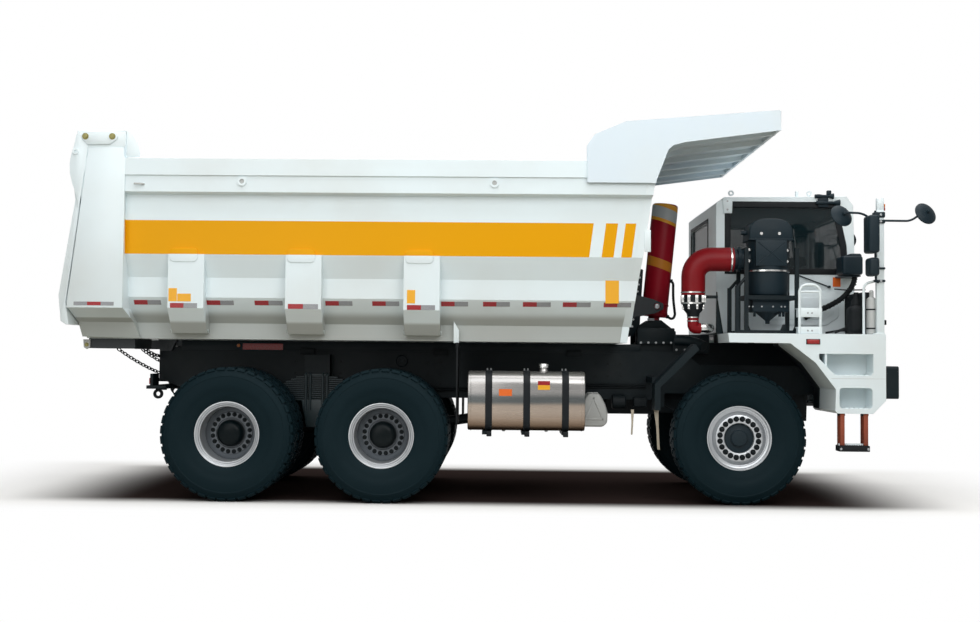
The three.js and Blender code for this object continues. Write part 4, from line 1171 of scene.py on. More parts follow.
# Plates over the rib tops, rail eyes, gussets and mudflaps of the bed
ribs = (-2.17, -0.866, 0.442)
eyes = [(x, -1.956, 3.541) for x in (-1.548, 1.235)]
bedTrim = {
    "rib_pads": {"look": "bedPaint", "parts": [
        ("plate", -1.855, roundedFlat((x - 0.186, x + 0.129), (2.653, 2.806), 0.055), -0.029, 0.006, 3)
        for x in ribs]},
    "rib_feet": {"look": "paint", "parts": [
        ("slab", [(x - 0.215, -1.64, 1.905), (x + 0.215, -1.64, 1.905), (x + 0.215, -1.585, 1.868),
                  (x - 0.215, -1.585, 1.868)], (0, -0.012, 0.01), 0.003) for x in ribs]},
    "rail_eyes": {"look": "paint", "parts": [("ring", eye, outward, 0.05, 0.027, 0.022) for eye in eyes]},
    # Painted shade: a grey disc at the back of each eye stands for the shade in its hole
    "rail_holes": {"look": "greySteel", "parts": [
        ("turned", [(0, 0), (0.028, 0), (0.028, 0.006), (0, 0.006)], eye, outward, 20) for eye in eyes]},
    "bed_plates": {"look": "paint", "parts": [
        ("block", (2.89, -1.872, 2.804), (2.958, -1.852, 3.046), 0.004),
        ("plate", -1.58, ((0.79, 2.03), (0.85, 1.93), (0.85, 1.786), (0.79, 1.786)), 0.1, 0.004),
        ("plate", -1.94, ((-2.838, 3.8), (-2.69, 3.806), (-2.69, 3.87), (-2.712, 3.96), (-2.752, 4.04),
                          (-2.8, 4.085), (-2.838, 4.094)), -0.02, 0.004)]},
    "peg_handles": {"look": "greySteel", "parts": [
        ("tube", [(-2.635, -1.955, 3.505), (-2.655, -2.005, 3.505), (-2.735, -2.005, 3.505)], 0.011,
         0.03)]},
    "mudflaps": {"look": "flap", "parts": [
        ("block", (0.824, -1.62, 0.873), (0.84, -0.92, 1.79), 0.003),
        ("block", (0.816, -1.63, 1.735), (0.848, -0.9, 1.79), 0.004)]},
    "beam_skirts": {"look": "chassis", "parts": [
        ("block", (-2.52, -0.47, 1.69), (2.64, -0.462, 1.8), 0.002)]},
}


# Chains hang in a shallow curve, every other link turned across
chain = {"wire": 0.0065, "link": (0.052, 0.019), "y": -0.56, "sag": 0.02,
         "runs": (((-3.271, 1.69), (-2.76, 1.405)), ((-2.95, 1.7), (-2.742, 1.604)))}


def chainRows(start, end):
    start, end = (Vector((x, chain["y"], z)) for x, z in (start, end))
    length, radius = chain["link"]
    count = max(2, round((end - start).length / (length * 0.8)))
    points = [start.lerp(end, i / count) - Vector((0, 0, chain["sag"] * 4 * (i / count) * (1 - i / count)))
              for i in range(count + 1)]
    rows = []
    for i, (a, b) in enumerate(zip(points, points[1:])):
        flat = (b - a).to_track_quat("X", "Z").to_matrix().to_4x4()
        turn = flat @ Matrix.Rotation(math.radians(45 + 90 * (i % 2)), 4, "X")
        rows.append(("torus", (a + b) / 2, turn, radius, chain["wire"], (16, 6), length / 2 / radius))
    return rows


# Pillar covers, hinge plates, links, lugs and chains at the back of the bed
rearTrim = {
    "pillar_covers": {"look": "paint", "parts": [
        ("plate", -1.968, ((-3.462, 2.133), (-2.843, 2.134), (-2.843, 3.8), (-2.858, 3.808), (-2.858, 3.91),
                           (-3.253, 3.901)), -0.017, 0.004),
        ("plate", -1.968, ((-3.3, 3.88), (-2.842, 3.916), (-2.842, 4.077), (-3.3, 4.086)), -0.01, 0.003)]},
    "hinge_plates": {"look": "paint", "body": "tailgate", "parts": [
        ("plate", -1.971, ((-3.357, 4.088), (-3.393, 4.043), (-3.414, 3.93), (-3.446, 3.82), (-3.46, 3.72),
                           (-3.455, 3.62), (-3.427, 3.505), (-3.385, 3.391), (-3.345, 3.243),
                           (-3.262, 3.89),
                           (-3.27, 3.96), (-3.3, 4.05)), -0.012, 0.003)]},
    "hinge_links": {"look": "paint", "parts": [
        ("plate", -1.985, ((-3.333, 4.04), (-3.315, 4.07), (-3.28, 4.078), (-2.975, 4.08), (-2.935, 4.066),
                           (-2.922, 4.03), (-2.938, 3.995), (-3.011, 3.94), (-3.264, 3.936),
                           (-3.32, 3.995)),
         -0.012, 0.003)]},
    "hinge_bolts": {"look": "zinc", "angle": 30, "parts": boltRows(
        [(x, -1.997, 4.026) for x in (-3.286, -2.987)], 0.027, outward, 0.015)},
    "tailgate_lugs": {"look": "paint", "body": "tailgate", "parts": [
        ("ring", (-3.395, -1.983, 3.86), outward, 0.034, 0.014, 0.012, 20)]},
    "latch_lugs": {"look": "greySteel", "parts": [
        ("plate", -1.385, ((-3.44, 1.79), (-3.355, 1.79), (-3.36, 1.7), (-3.395, 1.677), (-3.432, 1.7)),
         -0.018, 0.004)]},
    "latch_bolts": {"look": "zinc", "angle": 30, "parts": boltRows([(-3.398, -1.403, 1.73)], 0.018)},
    "rear_chains": {"look": "cast", "angle": 60, "parts": [
        row for run in chain["runs"] for row in chainRows(*run)]},
}


# Lamps, bosses and bolts along the frame
frameMarks = {
    "frame_reflector": {"look": "lampRed", "parts": [
        ("block", (-1.782, -0.476, 1.693), (-1.297, -0.469, 1.768), 0.0008, 1)]},
    "frame_marker": {"look": "lampAmber", "parts": [
        ("turned", [(0, 0.012), (0.018, 0.01), (0.022, 0), (0, 0)], (-1.835, -0.47, 1.742), outward, 20)]},
}
frameTrim = {
    "frame_bosses": {"look": "chassis", "angle": 30, "parts": [
        ("turned", [(0, 0.028), (0.03, 0.028), (0.034, 0.02), (0.062, 0.02), (0.072, 0.012), (0.072, 0),
                    (0, 0)],
         (0.137, -0.458, 1.575), outward, 32)]},
    "frame_bolts": {"look": "cast", "angle": 30, "parts": boltRows(
        [(x, -0.46, z) for x in (-1.15, -0.6, 0.45, 0.6, 2.45, 2.6, 2.75) for z in (1.3, 1.42, 1.56)],
        0.013)},
    "bed_guides": {"look": "cast", "parts": [
        ("block", (x - 0.09, -0.5, 1.64), (x + 0.09, -0.472, 1.722), 0.006) for x in (-1.0, 0.6, 2.2)]},
    "tow_eyes": {"look": "cast", "angle": 30, "parts": [
        ("ring", (-2.735, -0.7, 1.16), outward, 0.058, 0.026, 0.03),
        ("block", (-2.765, -0.73, 1.205), (-2.635, -0.7, 1.23), 0.006)]},
    "tow_beam": {"look": "chassis", "both": False, "parts": [
        ("block", (-2.83, -0.92, 1.222), (-2.6, 0.92, 1.262), 0.006)]},
    "tail_lamps": {"look": "lampRed", "parts": [
        ("block", (-2.8, y, 1.275), (-2.78, y + 0.12, 1.35), 0.008) for y in (-0.91, -0.77)]},
    "tail_lamp_bar": {"look": "chassis", "parts": [
        ("block", (-2.786, -0.92, 1.258), (-2.75, -0.625, 1.4), 0.006)]},
}


# Intake duct: a wide silicone bend, a clamped steel coupling and a small boot below it
duct = {"x": 3.516, "y": -1.2, "top": 2.774, "end": 3.972, "radius": 0.137, "bend": 0.31, "foot": 2.372}


# Clamp blocks in a ring about the duct
def clampRows(count, start, radius, z, size, bevel):
    rows = []
    for i in range(count):
        angle = 2 * math.pi * (i + start) / count
        place = Vector((duct["x"] + radius * math.cos(angle), duct["y"] + radius * math.sin(angle), z))
        rows.append(("block", place - Vector(size), place + Vector(size), bevel))
    return rows


def ductTrim():
    x, y, top, radius, foot = (duct[key] for key in ("x", "y", "top", "radius", "foot"))
    return {
        "intake_duct_finished": {"look": "silicone", "angle": 60, "nodes": ["intake_duct"], "parts": [
            ("tube", [(duct["end"], y, top), (x, y, top), (x, y, foot - 0.01)], radius, duct["bend"], 8,
             10)]},
        "duct_coupling": {"look": "trim", "angle": 30, "parts": [
            ("turned", [(0, 2.376), (0.126, 2.376), (0.13, 2.36), (0.13, 2.24), (0.118, 2.205),
                        (0.074, 2.15),
                        (0.066, 2.11), (0, 2.11)], (x, y, 0), upward, 40)]},
        "duct_boot": {"look": "silicone", "angle": 60, "parts": [
            ("tube", [(x, y, 2.128), (x, y, 1.985), (x + 0.075, y + 0.02, 1.985)], 0.066, 0.06, 5, 6)]},
        "charge_pipe": {"look": "steel", "angle": 60, "parts": [
            ("tube", [(x + 0.06, y + 0.02, 1.992), (x + 0.2, y + 0.04, 1.992), (x + 0.26, -0.5, 1.99)],
             0.053, 0.1, 5, 6)]},
        "duct_bands": {"look": "steel", "angle": 30, "parts": [
            ("band", (duct["end"] - 0.032, y, top), forward, radius, 0.016),
            ("band", (x, y, foot + 0.02), upward, radius, 0.014),
            ("band", (x, y, 2.268), upward, 0.132, 0.018, 0.006),
            ("band", (x, y, 2.108), upward, 0.067, 0.012),
            ("band", (x, y, 2.066), upward, 0.066, 0.012),
            *clampRows(9, 0, 0.128, 2.318, (0.017, 0.017, 0.04), 0.004),
            *clampRows(8, 0.3, 0.124, 2.225, (0.011, 0.011, 0.026), 0.003)]},
        "duct_stay": {"look": "chassis", "parts": [
            ("plate", -1.1, ((3.79, 1.926), (3.878, 1.926), (3.812, 2.33), (3.808, 2.407), (3.794, 2.407)),
             0.012, 0.003),
            ("block", (3.65, -1.118, 2.33), (3.812, -1.094, 2.366), 0.005)]},
    }


# Air filter: can, hood, ash box and cone
airFilter = {"centre": (4.361, -1.2), "can": 0.236,
             "hood": ((4.121, 2.99), (4.606, 2.99), (4.606, 3.095), (4.588, 3.15), (4.545, 3.195),
                      (4.48, 3.222),
                      (4.42, 3.228), (4.29, 3.228), (4.23, 3.22), (4.175, 3.192), (4.137, 3.15),
                      (4.121, 3.1)),
             "holes": ((4.254, 3.057), (4.456, 3.058)),
             "canBolts": ((4.122, 2.877), (4.122, 2.751), (4.553, 2.87), (4.553, 2.746)),
             "ashBolts": (4.118, 4.16, 4.262, 4.388, 4.482, 4.522),
             "posts": ((4.075, 1), (4.5, -1), (4.64, -1))}


def filterTrim():
    x, y = airFilter["centre"]
    can, top = airFilter["can"], duct["top"]
    face, rim = y - can, can + 0.006
    ends = [Vector((px, y - 0.16, pz)) for px, pz in airFilter["canBolts"]]
    return {
        "air_filter_finished": {"look": "plastic", "angle": 30, "nodes": ["air_filter"], "parts": [
            ("turned", [(0, 2.33), (0.15, 2.332), (0.196, 2.344), (0.226, 2.372), (can, 2.42), (can, 2.615),
                        (rim, 2.622), (rim, 2.655), (can, 2.662), (can, 2.992),
                        (0, 2.992)], (x, y, 0), upward, 56),
            ("plate", y - 0.213, airFilter["hood"], 0.426, 0.014, 3),
            ("block", (4.112, y - 0.222, 2.982), (4.615, y + 0.222, 3.002), 0.005),
            ("block", (x - 0.175, face - 0.004, 2.69), (x + 0.175, face + 0.06, 2.985), 0.006),
            ("block", (x - 0.205, y - 0.19, 2.173), (x + 0.205, y + 0.19, 2.33), 0.008),
            ("block", (x - 0.222, y - 0.205, 2.302), (x + 0.222, y + 0.205, 2.322), 0.004),
            ("turned", [(0, 2.18), (0.15, 2.18), (0.026, 2.075), (0.024, 2.04), (0, 2.04)], (x, y, 0),
             upward, 32),
            ("tube", [(3.976, y, top), (4.13, y, top), (4.3, y, 2.84)], 0.118, 0.05, 7, 3),
            ("band", (4.03, y, top), forward, 0.116, 0.03, 0.026),
            ("tube", [(4.058, y, 3.08), (4.135, y, 3.08)], 0.026, 0.01, 4, 2),
            *[("block", (x + u - 0.012, y - 0.15, 2.12), (x + u + 0.012, y - 0.1, 2.18), 0.003)
              for u in (-0.17, 0.115, 0.155)],
            *[("tube", [(x - 0.15, face - 0.003, low), (x + 0.15, face - 0.003, high)], 0.006, 0.01, 2, 2)
              for low, high in ((2.715, 2.96), (2.96, 2.715))]]},
        "filter_band": {"look": "steel", "angle": 30, "parts": [
            ("turned", [(can + 0.004, 2.626), (can + 0.01, 2.63), (can + 0.01, 2.648), (can + 0.004, 2.652),
                        (can + 0.004, 2.626)], (x, y, 0), upward, 56)]},
        "hood_bolts": {"look": "steel", "angle": 30, "parts": boltRows(
            [(px, y - 0.213, pz) for px, pz in airFilter["holes"]], 0.013)},
        "filter_tabs": {"look": "cast", "parts": [
            ("block", place + Vector((-0.03, -0.004, -0.02)), place + Vector((0.03, 0.012, 0.02)), 0.004)
            for place in ends]},
        "can_bolts": {"look": "steel", "angle": 30, "parts": boltRows(
            [place - Vector((0, 0.004, 0)) for place in ends], 0.011)},
        "ash_bolts": {"look": "bolt", "angle": 30, "parts": boltRows(
            [(px, y - 0.19, 2.232) for px in airFilter["ashBolts"]], 0.007)},
        "filter_post_feet": {"look": "chassis", "parts": [
            ("plate", -1.478, [(px + s * u, z) for u, z in ((-0.018, 1.926), (0.06, 1.926), (0.018, 2.03),
                                                           (-0.018, 2.03))], 0.034, 0.003)
            for px, s in airFilter["posts"]]},
    }


# Cooler, canister, pot, air box, hose and lines ahead of the cab's right side
hoseWay = [Vector(point) for point in ((5.425, -0.94, 2.625), (5.395, -0.96, 2.5), (5.29, -0.94, 2.36),
                                       (5.16, -0.88, 2.275), (5.0, -0.72, 2.19), (4.9, -0.66, 2.13))]
coolerTrim = {
    "oil_cooler_finished": {"look": "cast", "nodes": ["oil_cooler"], "parts": [
        ("block", (5.35, -1.56, 1.93), (5.445, -0.76, 2.395), 0.006),
        *[("block", (5.342, y, 1.96), (5.452, y + 0.008, 2.37), 0.002, 1)
          for y in [-1.54 + 0.036 * i for i in range(22)]]]},
    "dryer_can": {"look": "greySteel", "angle": 30, "parts": [
        ("turned", [(0, 1.926), (0.048, 1.926), (0.055, 1.936), (0.055, 2.29), (0.048, 2.32), (0.024, 2.34),
                    (0.024, 2.4), (0.014, 2.416), (0, 2.416)], (5.428, -1.625, 0), upward, 32)]},
    "dryer_bands": {"look": "trim", "parts": [
        ("band", (5.428, -1.625, z), upward, 0.055, 0.016) for z in (1.99, 2.2)]},
    "insulated_pot": {"look": "flap", "angle": 60, "parts": [
        ("block", (5.222, -1.52, 1.93), (5.4, -1.26, 2.25), 0.07, 5),
        ("turned", [(0, 2.22), (0.062, 2.22), (0.055, 2.3), (0.03, 2.34), (0.026, 2.4), (0, 2.4)],
         (5.32, -1.39, 0), upward, 24)]},
    "air_box": {"look": "plastic", "parts": [
        ("block", (5.244, -1.09, 2.618), (5.48, -0.76, 2.838), 0.03, 4),
        ("block", (5.334, -1.07, 2.792), (5.472, -0.79, 2.866), 0.026, 4),
        ("block", (5.262, -1.02, 2.6), (5.47, -0.64, 2.618), 0.005)]},
    "ribbed_hose": {"look": "flap", "angle": 60, "parts": [
        ("tube", hoseWay, 0.03, 0.12, 4, 5),
        *[("band", a.lerp(b, (i + 0.5) / 4), b - a, 0.03, 0.01, 0.004)
          for a, b in zip(hoseWay, hoseWay[1:]) for i in range(4)]]},
    "deck_lines": {"look": "trim", "angle": 50, "parts": [
        ("tube", [(5.1, -1.3, 1.95), (5.2, -1.34, 1.99), (5.33, -1.3, 2.03)], 0.016, 0.06),
        ("tube", [(5.02, -1.2, 1.945), (5.18, -1.26, 1.975), (5.3, -1.34, 1.96)], 0.013, 0.06),
        ("tube", [(5.44, -1.6, 1.945), (5.5, -1.6, 1.99), (5.545, -1.6, 2.04)], 0.009, 0.03),
        ("tube", [(5.19, -0.92, 2.46), (5.3, -1.0, 2.445), (5.5, -1.1, 2.445)], 0.008, 0.03),
        ("block", (5.53, -1.64, 2.03), (5.592, -1.56, 2.086), 0.008)]},
    "lamp_bracket": {"look": "paint", "parts": [
        ("block", (5.52, -1.65, 1.925), (5.545, -1.55, 2.034), 0.003)]},
}


# Mirror posts; the left one lacks the near dish and its housings stand further ahead
mirror = {"axis": (0.34, 0.84, 0.42),
          "dish": ((0, 0.03), (0.03, 0.029), (0.072, 0.022), (0.106, 0.008), (0.13, -0.008), (0.13, -0.018),
                   (0.12, -0.022), (0.118, -0.014), (0, -0.01)),
          "knob": ((0, 0.026), (0.022, 0.026), (0.018, 0.06), (0, 0.066)),
          "clamps": ((3.215, 0.06), (3.15, 0.04), (2.64, 0.024), (2.5, 0.026))}


def dishRows(side, x, z):
    place, axis = (x, side * 1.76, z), Vector(mirror["axis"]) * Vector((1, side, 1))
    return [("turned", mirror["dish"], place, axis, 40), ("turned", mirror["knob"], place, axis, 16)]


def mirrorTrim(label, side, back, front, shift):  # side is -1 at the right, +1 at the left
    housings = [("block", (x + shift, side * y, z), (5.44 + shift, side * inner, top), *bevel)
                for x, y, z, inner, top, bevel in ((5.319, 1.955, 2.811, 1.7, 3.225, (0.03, 4)),
                                                   (5.33, 1.945, 2.558, 1.72, 2.76, (0.034, 4)))]
    clamps = [("block", (back - 0.03, side * 1.757, z), (front + 0.008, side * 1.65, z + high), 0.008)
              for z, high in mirror["clamps"]]
    stem = [(back - 0.016, side * 1.735, 3.29), (back - 0.016, side * 1.735, 2.64),
            (back - 0.01, side * 1.735, 2.5), (back + 0.02, side * 1.745, 2.5)]
    joints = [("tube", [(5.425 + shift, side * 1.8, z), (back - 0.014, side * 1.74, z)], 0.011, 0.02)
              for z in (2.9, 3.14, 2.66)]
    farArm = [(front, side * 1.735, 3.18), (5.83, side * 1.745, 3.178), (5.905, side * 1.775, 3.235),
              (5.975, side * 1.79, 3.275)]
    nearArm = [(5.1, side * 1.785, 3.262), (5.3, side * 1.77, 3.258), (5.4, side * 1.74, 3.19),
               (back, side * 1.72, 3.17)]
    near = [*dishRows(side, 5.073, 3.234), ("tube", nearArm, 0.0125, 0.06)] if label == "right" else []
    lens = [("block", (front + 0.001, side * 1.722, z), (front + 0.018, side * 1.684, top), 0.006)
            for z, top in ((3.292, 3.33), (3.331, 3.368))]
    return {
        f"mirror_post_{label}_finished": {"look": "paint", "nodes": [f"mirror_post_{label}"], "parts": [
            ("block", (back, side * 1.74, 1.925), (front, side * 1.665, 3.3), 0.006),
            ("block", (back + 0.004, side * 1.737, 3.29), (front + 0.001, side * 1.668, 3.435), 0.012),
            ("block", (back - 0.03, side * 1.75, 1.922), (front + 0.006, side * 1.655, 1.936), 0.003),
            ("tube", [(5.324, side * 1.7, 1.925), (5.324, side * 1.7, 2.48),
                      (back + 0.02, side * 1.7, 2.52)],
             0.0145, 0.06, 4)]},
        f"mirrors_{label}": {"look": "plastic", "angle": 40, "parts": [
            *housings, *clamps, ("tube", stem, 0.012, 0.03), *joints, *near,
            *dishRows(side, 5.995, 3.265), ("tube", farArm, 0.0125, 0.06)]},
        f"post_marker_{label}": {"look": "lampRed", "parts": lens[:1]},
        f"post_marker_amber_{label}": {"look": "lampAmber", "parts": lens[1:]},
        f"mirror_nuts_{label}": {"look": "bolt", "angle": 30, "parts": boltRows(
            [((back + front) / 2, side * 1.757, z) for z in (3.245, 3.17, 2.512)], 0.01, (0, side, 0))},
    }


# Ladder on the right deck: hoop, cross bar and two treads
ladder = {"x": (4.616, 4.844), "y": -1.715, "wall": -1.562, "foot": 1.925, "top": 2.465, "bar": 2.389,
          "treads": ((2.107, 2.208), (1.926, 1.999))}


def ladderTrim():
    x0, x1 = ladder["x"]
    y, wall, foot, top, bar = (ladder[key] for key in ("y", "wall", "foot", "top", "bar"))
    treads, holes = [], []
    for low, high in ladder["treads"]:
        treads += [("block", (x0 - 0.018, y - 0.012, low), (x1 + 0.018, y + 0.004, high), 0.003),
                   ("block", (x0 - 0.015, y, high - 0.012), (x1 + 0.015, wall, high), 0.003),
                   *[("block", (x - 0.006, y, low), (x + 0.006, wall, high), 0.003) for x in (x0, x1)]]
        holes += [((x0 + x1) / 2 + u, y - 0.012, (low + high) / 2 - 0.004) for u in (-0.026, 0.02)]
    return {
        "deck_ladder_finished": {"look": "paint", "angle": 40, "nodes": ["deck_ladder"], "parts": [
            ("tube", [(x0, y, foot), (x0, y, top), (x1, y, top), (x1, y, foot)], 0.0165, 0.085, 5, 7),
            ("tube", [(x0, y, bar), (x1, y, bar)], 0.0132, 0.01, 4, 2), *treads]},
        "ladder_bolts": {"look": "bolt", "angle": 30, "parts": boltRows(holes, 0.008)},
    }


def toothRows(x0, x1, z, count):
    pitch = (x1 - x0) / count
    return [("block", (x0 + pitch * (i + 0.18), -1.738, z), (x0 + pitch * (i + 0.82), -1.678, z + 0.012),
             0.003, 1)
            for i in range(count)]


# Treads, seams and markers on the deck sides, and the hanging steps
straps = (5.058, 5.315)
deckTrim = {
    "step_teeth": {"look": "paint", "parts": [
        *toothRows(4.985, 5.375, 1.462, 7), *toothRows(5.1, 5.365, 1.102, 5),
        ("block", (4.89, -1.74, 1.545), (4.912, -1.57, 1.702), 0.003)]},
    "deck_seams": {"look": "greySteel", "parts": [
        ("block", (4.955, -1.7512, 1.4325), (5.548, -1.746, 1.4355), 0.0008, 1)]},
    "side_markers": {"look": "lampRed", "parts": [
        ("block", (4.69, -1.768, 1.812), (4.825, -1.75, 1.86), 0.01, 3)]},
    "side_marker_bases": {"look": "trim", "parts": [
        ("block", (4.68, -1.756, 1.806), (4.834, -1.749, 1.866), 0.004)]},
    "hanging_treads": {"look": "flap", "parts": [
        ("block", (5.044, -1.744, 0.633), (5.378, -1.556, 0.698), 0.006),
        *[("block", (x, -1.746, 0.694), (x + 0.012, -1.554, 0.703), 0.002, 1)
          for x in [5.058 + 0.026 * i for i in range(12)]]]},
    "hanging_straps": {"look": "strap", "parts": [
        ("block", (x, -1.728, 0.7), (x + 0.048, -1.574, 1.05), 0.004) for x in straps]},
    "hanging_hooks": {"look": "trim", "parts": [
        ("block", (x - 0.006, -1.7, 1.02), (x + 0.06, -1.6, 1.056), 0.006) for x in straps]},
    "tread_bolts": {"look": "bolt", "angle": 30, "both": False, "parts": boltRows(
        [(x, -1.744, 0.662) for x in (5.062, 5.36)], 0.01)},
}


# Seals around the glass, roof eyes, horns, wiper and embossed panels of the cab
sideGlass = ((3.962, 2.642), (5.418, 2.642), (5.395, 3.0), (5.285, 3.505), (4.02, 3.505), (3.962, 3.4))
rearGlass = ((-0.02, 2.85), (1.52, 2.85), (1.52, 3.36), (-0.02, 3.36))
cabTrim = {
    "window_seals": {"look": "trim", "parts": [
        ("seal", [(x, -0.657, z) for x, z in sideGlass], (0, 0.02, 0), 0.07),
        ("seal", [(3.856, y, z) for y, z in rearGlass], (0.012, 0, 0), 0.04)]},
    "cab_plates": {"look": "paint", "parts": [
        ("plate", -0.648, ((4.42, 2.04), (5.15, 2.04), (5.285, 2.13), (5.302, 2.17), (5.302, 2.4),
                           (5.262, 2.44),
                           (4.42, 2.44)), -0.013, 0.01, 3),
        ("plate", -0.661, ((4.5, 2.11), (5.13, 2.11), (5.238, 2.18), (5.238, 2.35), (5.215, 2.372),
                           (4.5, 2.372)),
         -0.007, 0.006, 3),
        ("plate", -0.648, ((3.935, 3.541), (4.052, 3.541), (4.048, 3.362), (3.945, 3.362)), -0.022, 0.004),
        ("block", (4.835, -0.5, 3.57), (4.865, -0.44, 3.652), 0.004),
        *[("ring", (x, -0.56, 3.612), outward, 0.034, 0.015, 0.014) for x in (4.05, 4.978)]]},
    "bracket_bolts": {"look": "bolt", "angle": 30, "parts": boltRows(
        [(3.992, -0.67, z) for z in (3.505, 3.405)], 0.009)},
    "horns": {"look": "plastic", "angle": 40, "parts": [
        ("turned", [(0, 0), (0.02, 0), (0.024, 0.05), (0.016, 0.1), (0.016, 0.16), (0.034, 0.215),
                    (0.034, 0.222),
                    (0, 0.222)], (5.02, -0.672, 3.572), forward, 20),
        ("turned", [(0, 0), (0.022, 0), (0.026, 0.05), (0.018, 0.12), (0.018, 0.2), (0.038, 0.27),
                    (0.038, 0.278),
                    (0, 0.278)], (5.035, -0.68, 3.494), forward, 20),
        ("block", (5.16, -0.69, 3.582), (5.214, -0.64, 3.64), 0.01),
        ("block", (5.06, -0.675, 3.44), (5.18, -0.646, 3.58), 0.006),
        ("tube", [(4.812, -0.67, 2.636), (5.187, -0.67, 2.497)], 0.008, 0.01),
        ("block", (5.17, -0.68, 2.485), (5.205, -0.649, 2.512), 0.005)]},
    "cab_sticker": {"look": "orange", "parts": [
        ("block", (5.235, -0.653, 2.5), (5.326, -0.649, 2.612), 0.0008, 1)]},
}


# Dark lining inside the cab, and the gear lever
insideTrim = {
    "cab_lining": {"look": "plastic", "parts": [
        ("block", (3.99, -0.56, 3.418), (5.395, 1.66, 3.436), 0.004),
        ("block", (3.935, -0.575, 1.993), (5.42, 1.675, 2.006), 0.003),
        ("block", (3.935, -0.586, 2.01), (5.3, -0.574, 2.655), 0.004),
        ("block", (3.928, -0.57, 2.01), (3.94, 1.67, 2.87), 0.004),
        ("block", (3.96, 1.672, 2.01), (4.38, 1.686, 3.4), 0.004),
        ("block", (5.24, 0.7, 3.27), (5.33, 1.52, 3.405), 0.01),
        ("block", (4.3, 0.25, 2.006), (5.0, 0.64, 2.42), 0.03, 3)]},
    "door_lining": {"look": "plastic", "body": "cab_door", "parts": [
        ("block", (4.44, 1.672, 2.06), (5.3, 1.686, 2.64), 0.004)]},
    "gear_lever": {"look": "trim", "parts": [
        ("tube", [(4.62, 0.445, 2.415), (4.6, 0.445, 2.56), (4.585, 0.445, 2.64)], 0.01, 0.04),
        ("turned", [(0, 0), (0.02, 0.005), (0.026, 0.03), (0.02, 0.055), (0, 0.062)], (4.583, 0.445, 2.635),
         upward, 16)]},
}


# Driver's seat: crowned cushions with piping, on a plain base
seat = {"x": (4.42, 4.94), "y": (0.85, 1.35), "z": (2.32, 2.45), "top": 3.08,
        "cushion": ((0.05, 0.016), (0.06, 0.0096), (0.06, 0.004)), "back": ((0.05, 0.014), (0.07, 0.008))}


def cushion(name, low, high, facing, crown):
    piece = block(name, low, high, 0.03, 3)
    editFaces(piece, lambda face: face.normal.dot(Vector(facing)) > 0.99)
    for width, rise in crown:
        bpy.ops.mesh.inset(thickness=width, depth=rise)
    endEdit()
    modify(piece, "SUBSURF", levels=2)
    return piece


def makeSeat():
    (x0, x1), (y0, y1), (z0, z1), top = (seat[key] for key in ("x", "y", "z", "top"))
    base = cushion("seat_cushion", spot(x0 + 0.05, y0, z0), spot(x1, y1, z1), upward, seat["cushion"])
    dress(base, "cloth", "chassis", "driver_seat", angle=60)
    back = cushion("seat_back", spot(x0, y0 + 0.01, z1 - 0.02), spot(x0 + 0.12, y1 - 0.01, top - 0.01),
                   forward,
                   seat["back"])
    dress(back, "cloth", "chassis", angle=60)
    seam = [(x0 + 0.062, y0 + 0.012), (x1 - 0.012, y0 + 0.012), (x1 - 0.012, y1 - 0.012),
            (x0 + 0.062, y1 - 0.012)]
    edge = [(y0 + 0.024, z1), (y1 - 0.024, z1), (y1 - 0.024, top - 0.03), (y0 + 0.024, top - 0.03)]
    lines = [[(x, y, z1 - 0.012) for x, y in seam], [(x0 + 0.11, y, z) for y, z in edge]]
    makeTrim("seat", {
        "seat_piping": {"look": "trim", "angle": 60, "parts": [
            ("tube", [*line, line[0]], 0.006, 0.05, 2, 5) for line in lines]},
        "seat_base": {"look": "trim", "parts": [
            ("block", (4.48, 0.9, 2.006), (4.86, 1.3, 2.25), 0.02, 3),
            ("block", (4.45, 0.87, 2.25), (4.92, 1.33, 2.315), 0.012),
            *[("block", (4.472, 0.892, z), (4.868, 1.308, z + 0.016), 0.006)
              for z in [2.05 + 0.036 * i for i in range(5)]]]},
    })


# Steering wheel and the binnacle behind it
wheel = {"place": (5.04, 1.1, 2.7), "radius": 0.215, "rim": 0.016, "tilt": 40}


def dashTrim():
    tilt = math.radians(wheel["tilt"])
    axis = Vector((-math.cos(tilt), 0, math.sin(tilt)))
    centre, across = Vector(wheel["place"]), axis.orthogonal().normalized()
    turn = axis.to_track_quat("Z", "Y").to_matrix().to_4x4()
    spokes = [Matrix.Rotation(2 * math.pi * i / 3 + 0.5, 3, axis) @ across for i in range(3)]
    return {
        "binnacle": {"look": "trim", "parts": [
            ("block", (5.08, 0.86, 2.84), (5.26, 1.34, 2.965), 0.03, 3),
            ("block", (5.074, 0.89, 2.862), (5.084, 1.31, 2.945), 0.004)]},
        "steering_wheel": {"look": "trim", "angle": 50, "parts": [
            ("torus", centre, turn, wheel["radius"], wheel["rim"], (56, 10)),
            *[("tube", [centre - axis * 0.03, centre + out * wheel["radius"] * 0.98], 0.013, 0.01)
              for out in spokes],
            ("turned", [(0, 0.01), (0.05, 0.005), (0.058, -0.015), (0.04, -0.06), (0.03, -0.34),
                        (0, -0.34)],
             centre, axis, 28)]},
    }


# Front of the cab and the bumper: seal, grille, lamps, wipers and a blank plate
front = {"x": 5.49, "screen": ((-0.56, 1.66), (2.66, 3.418)), "bumper": 5.694}


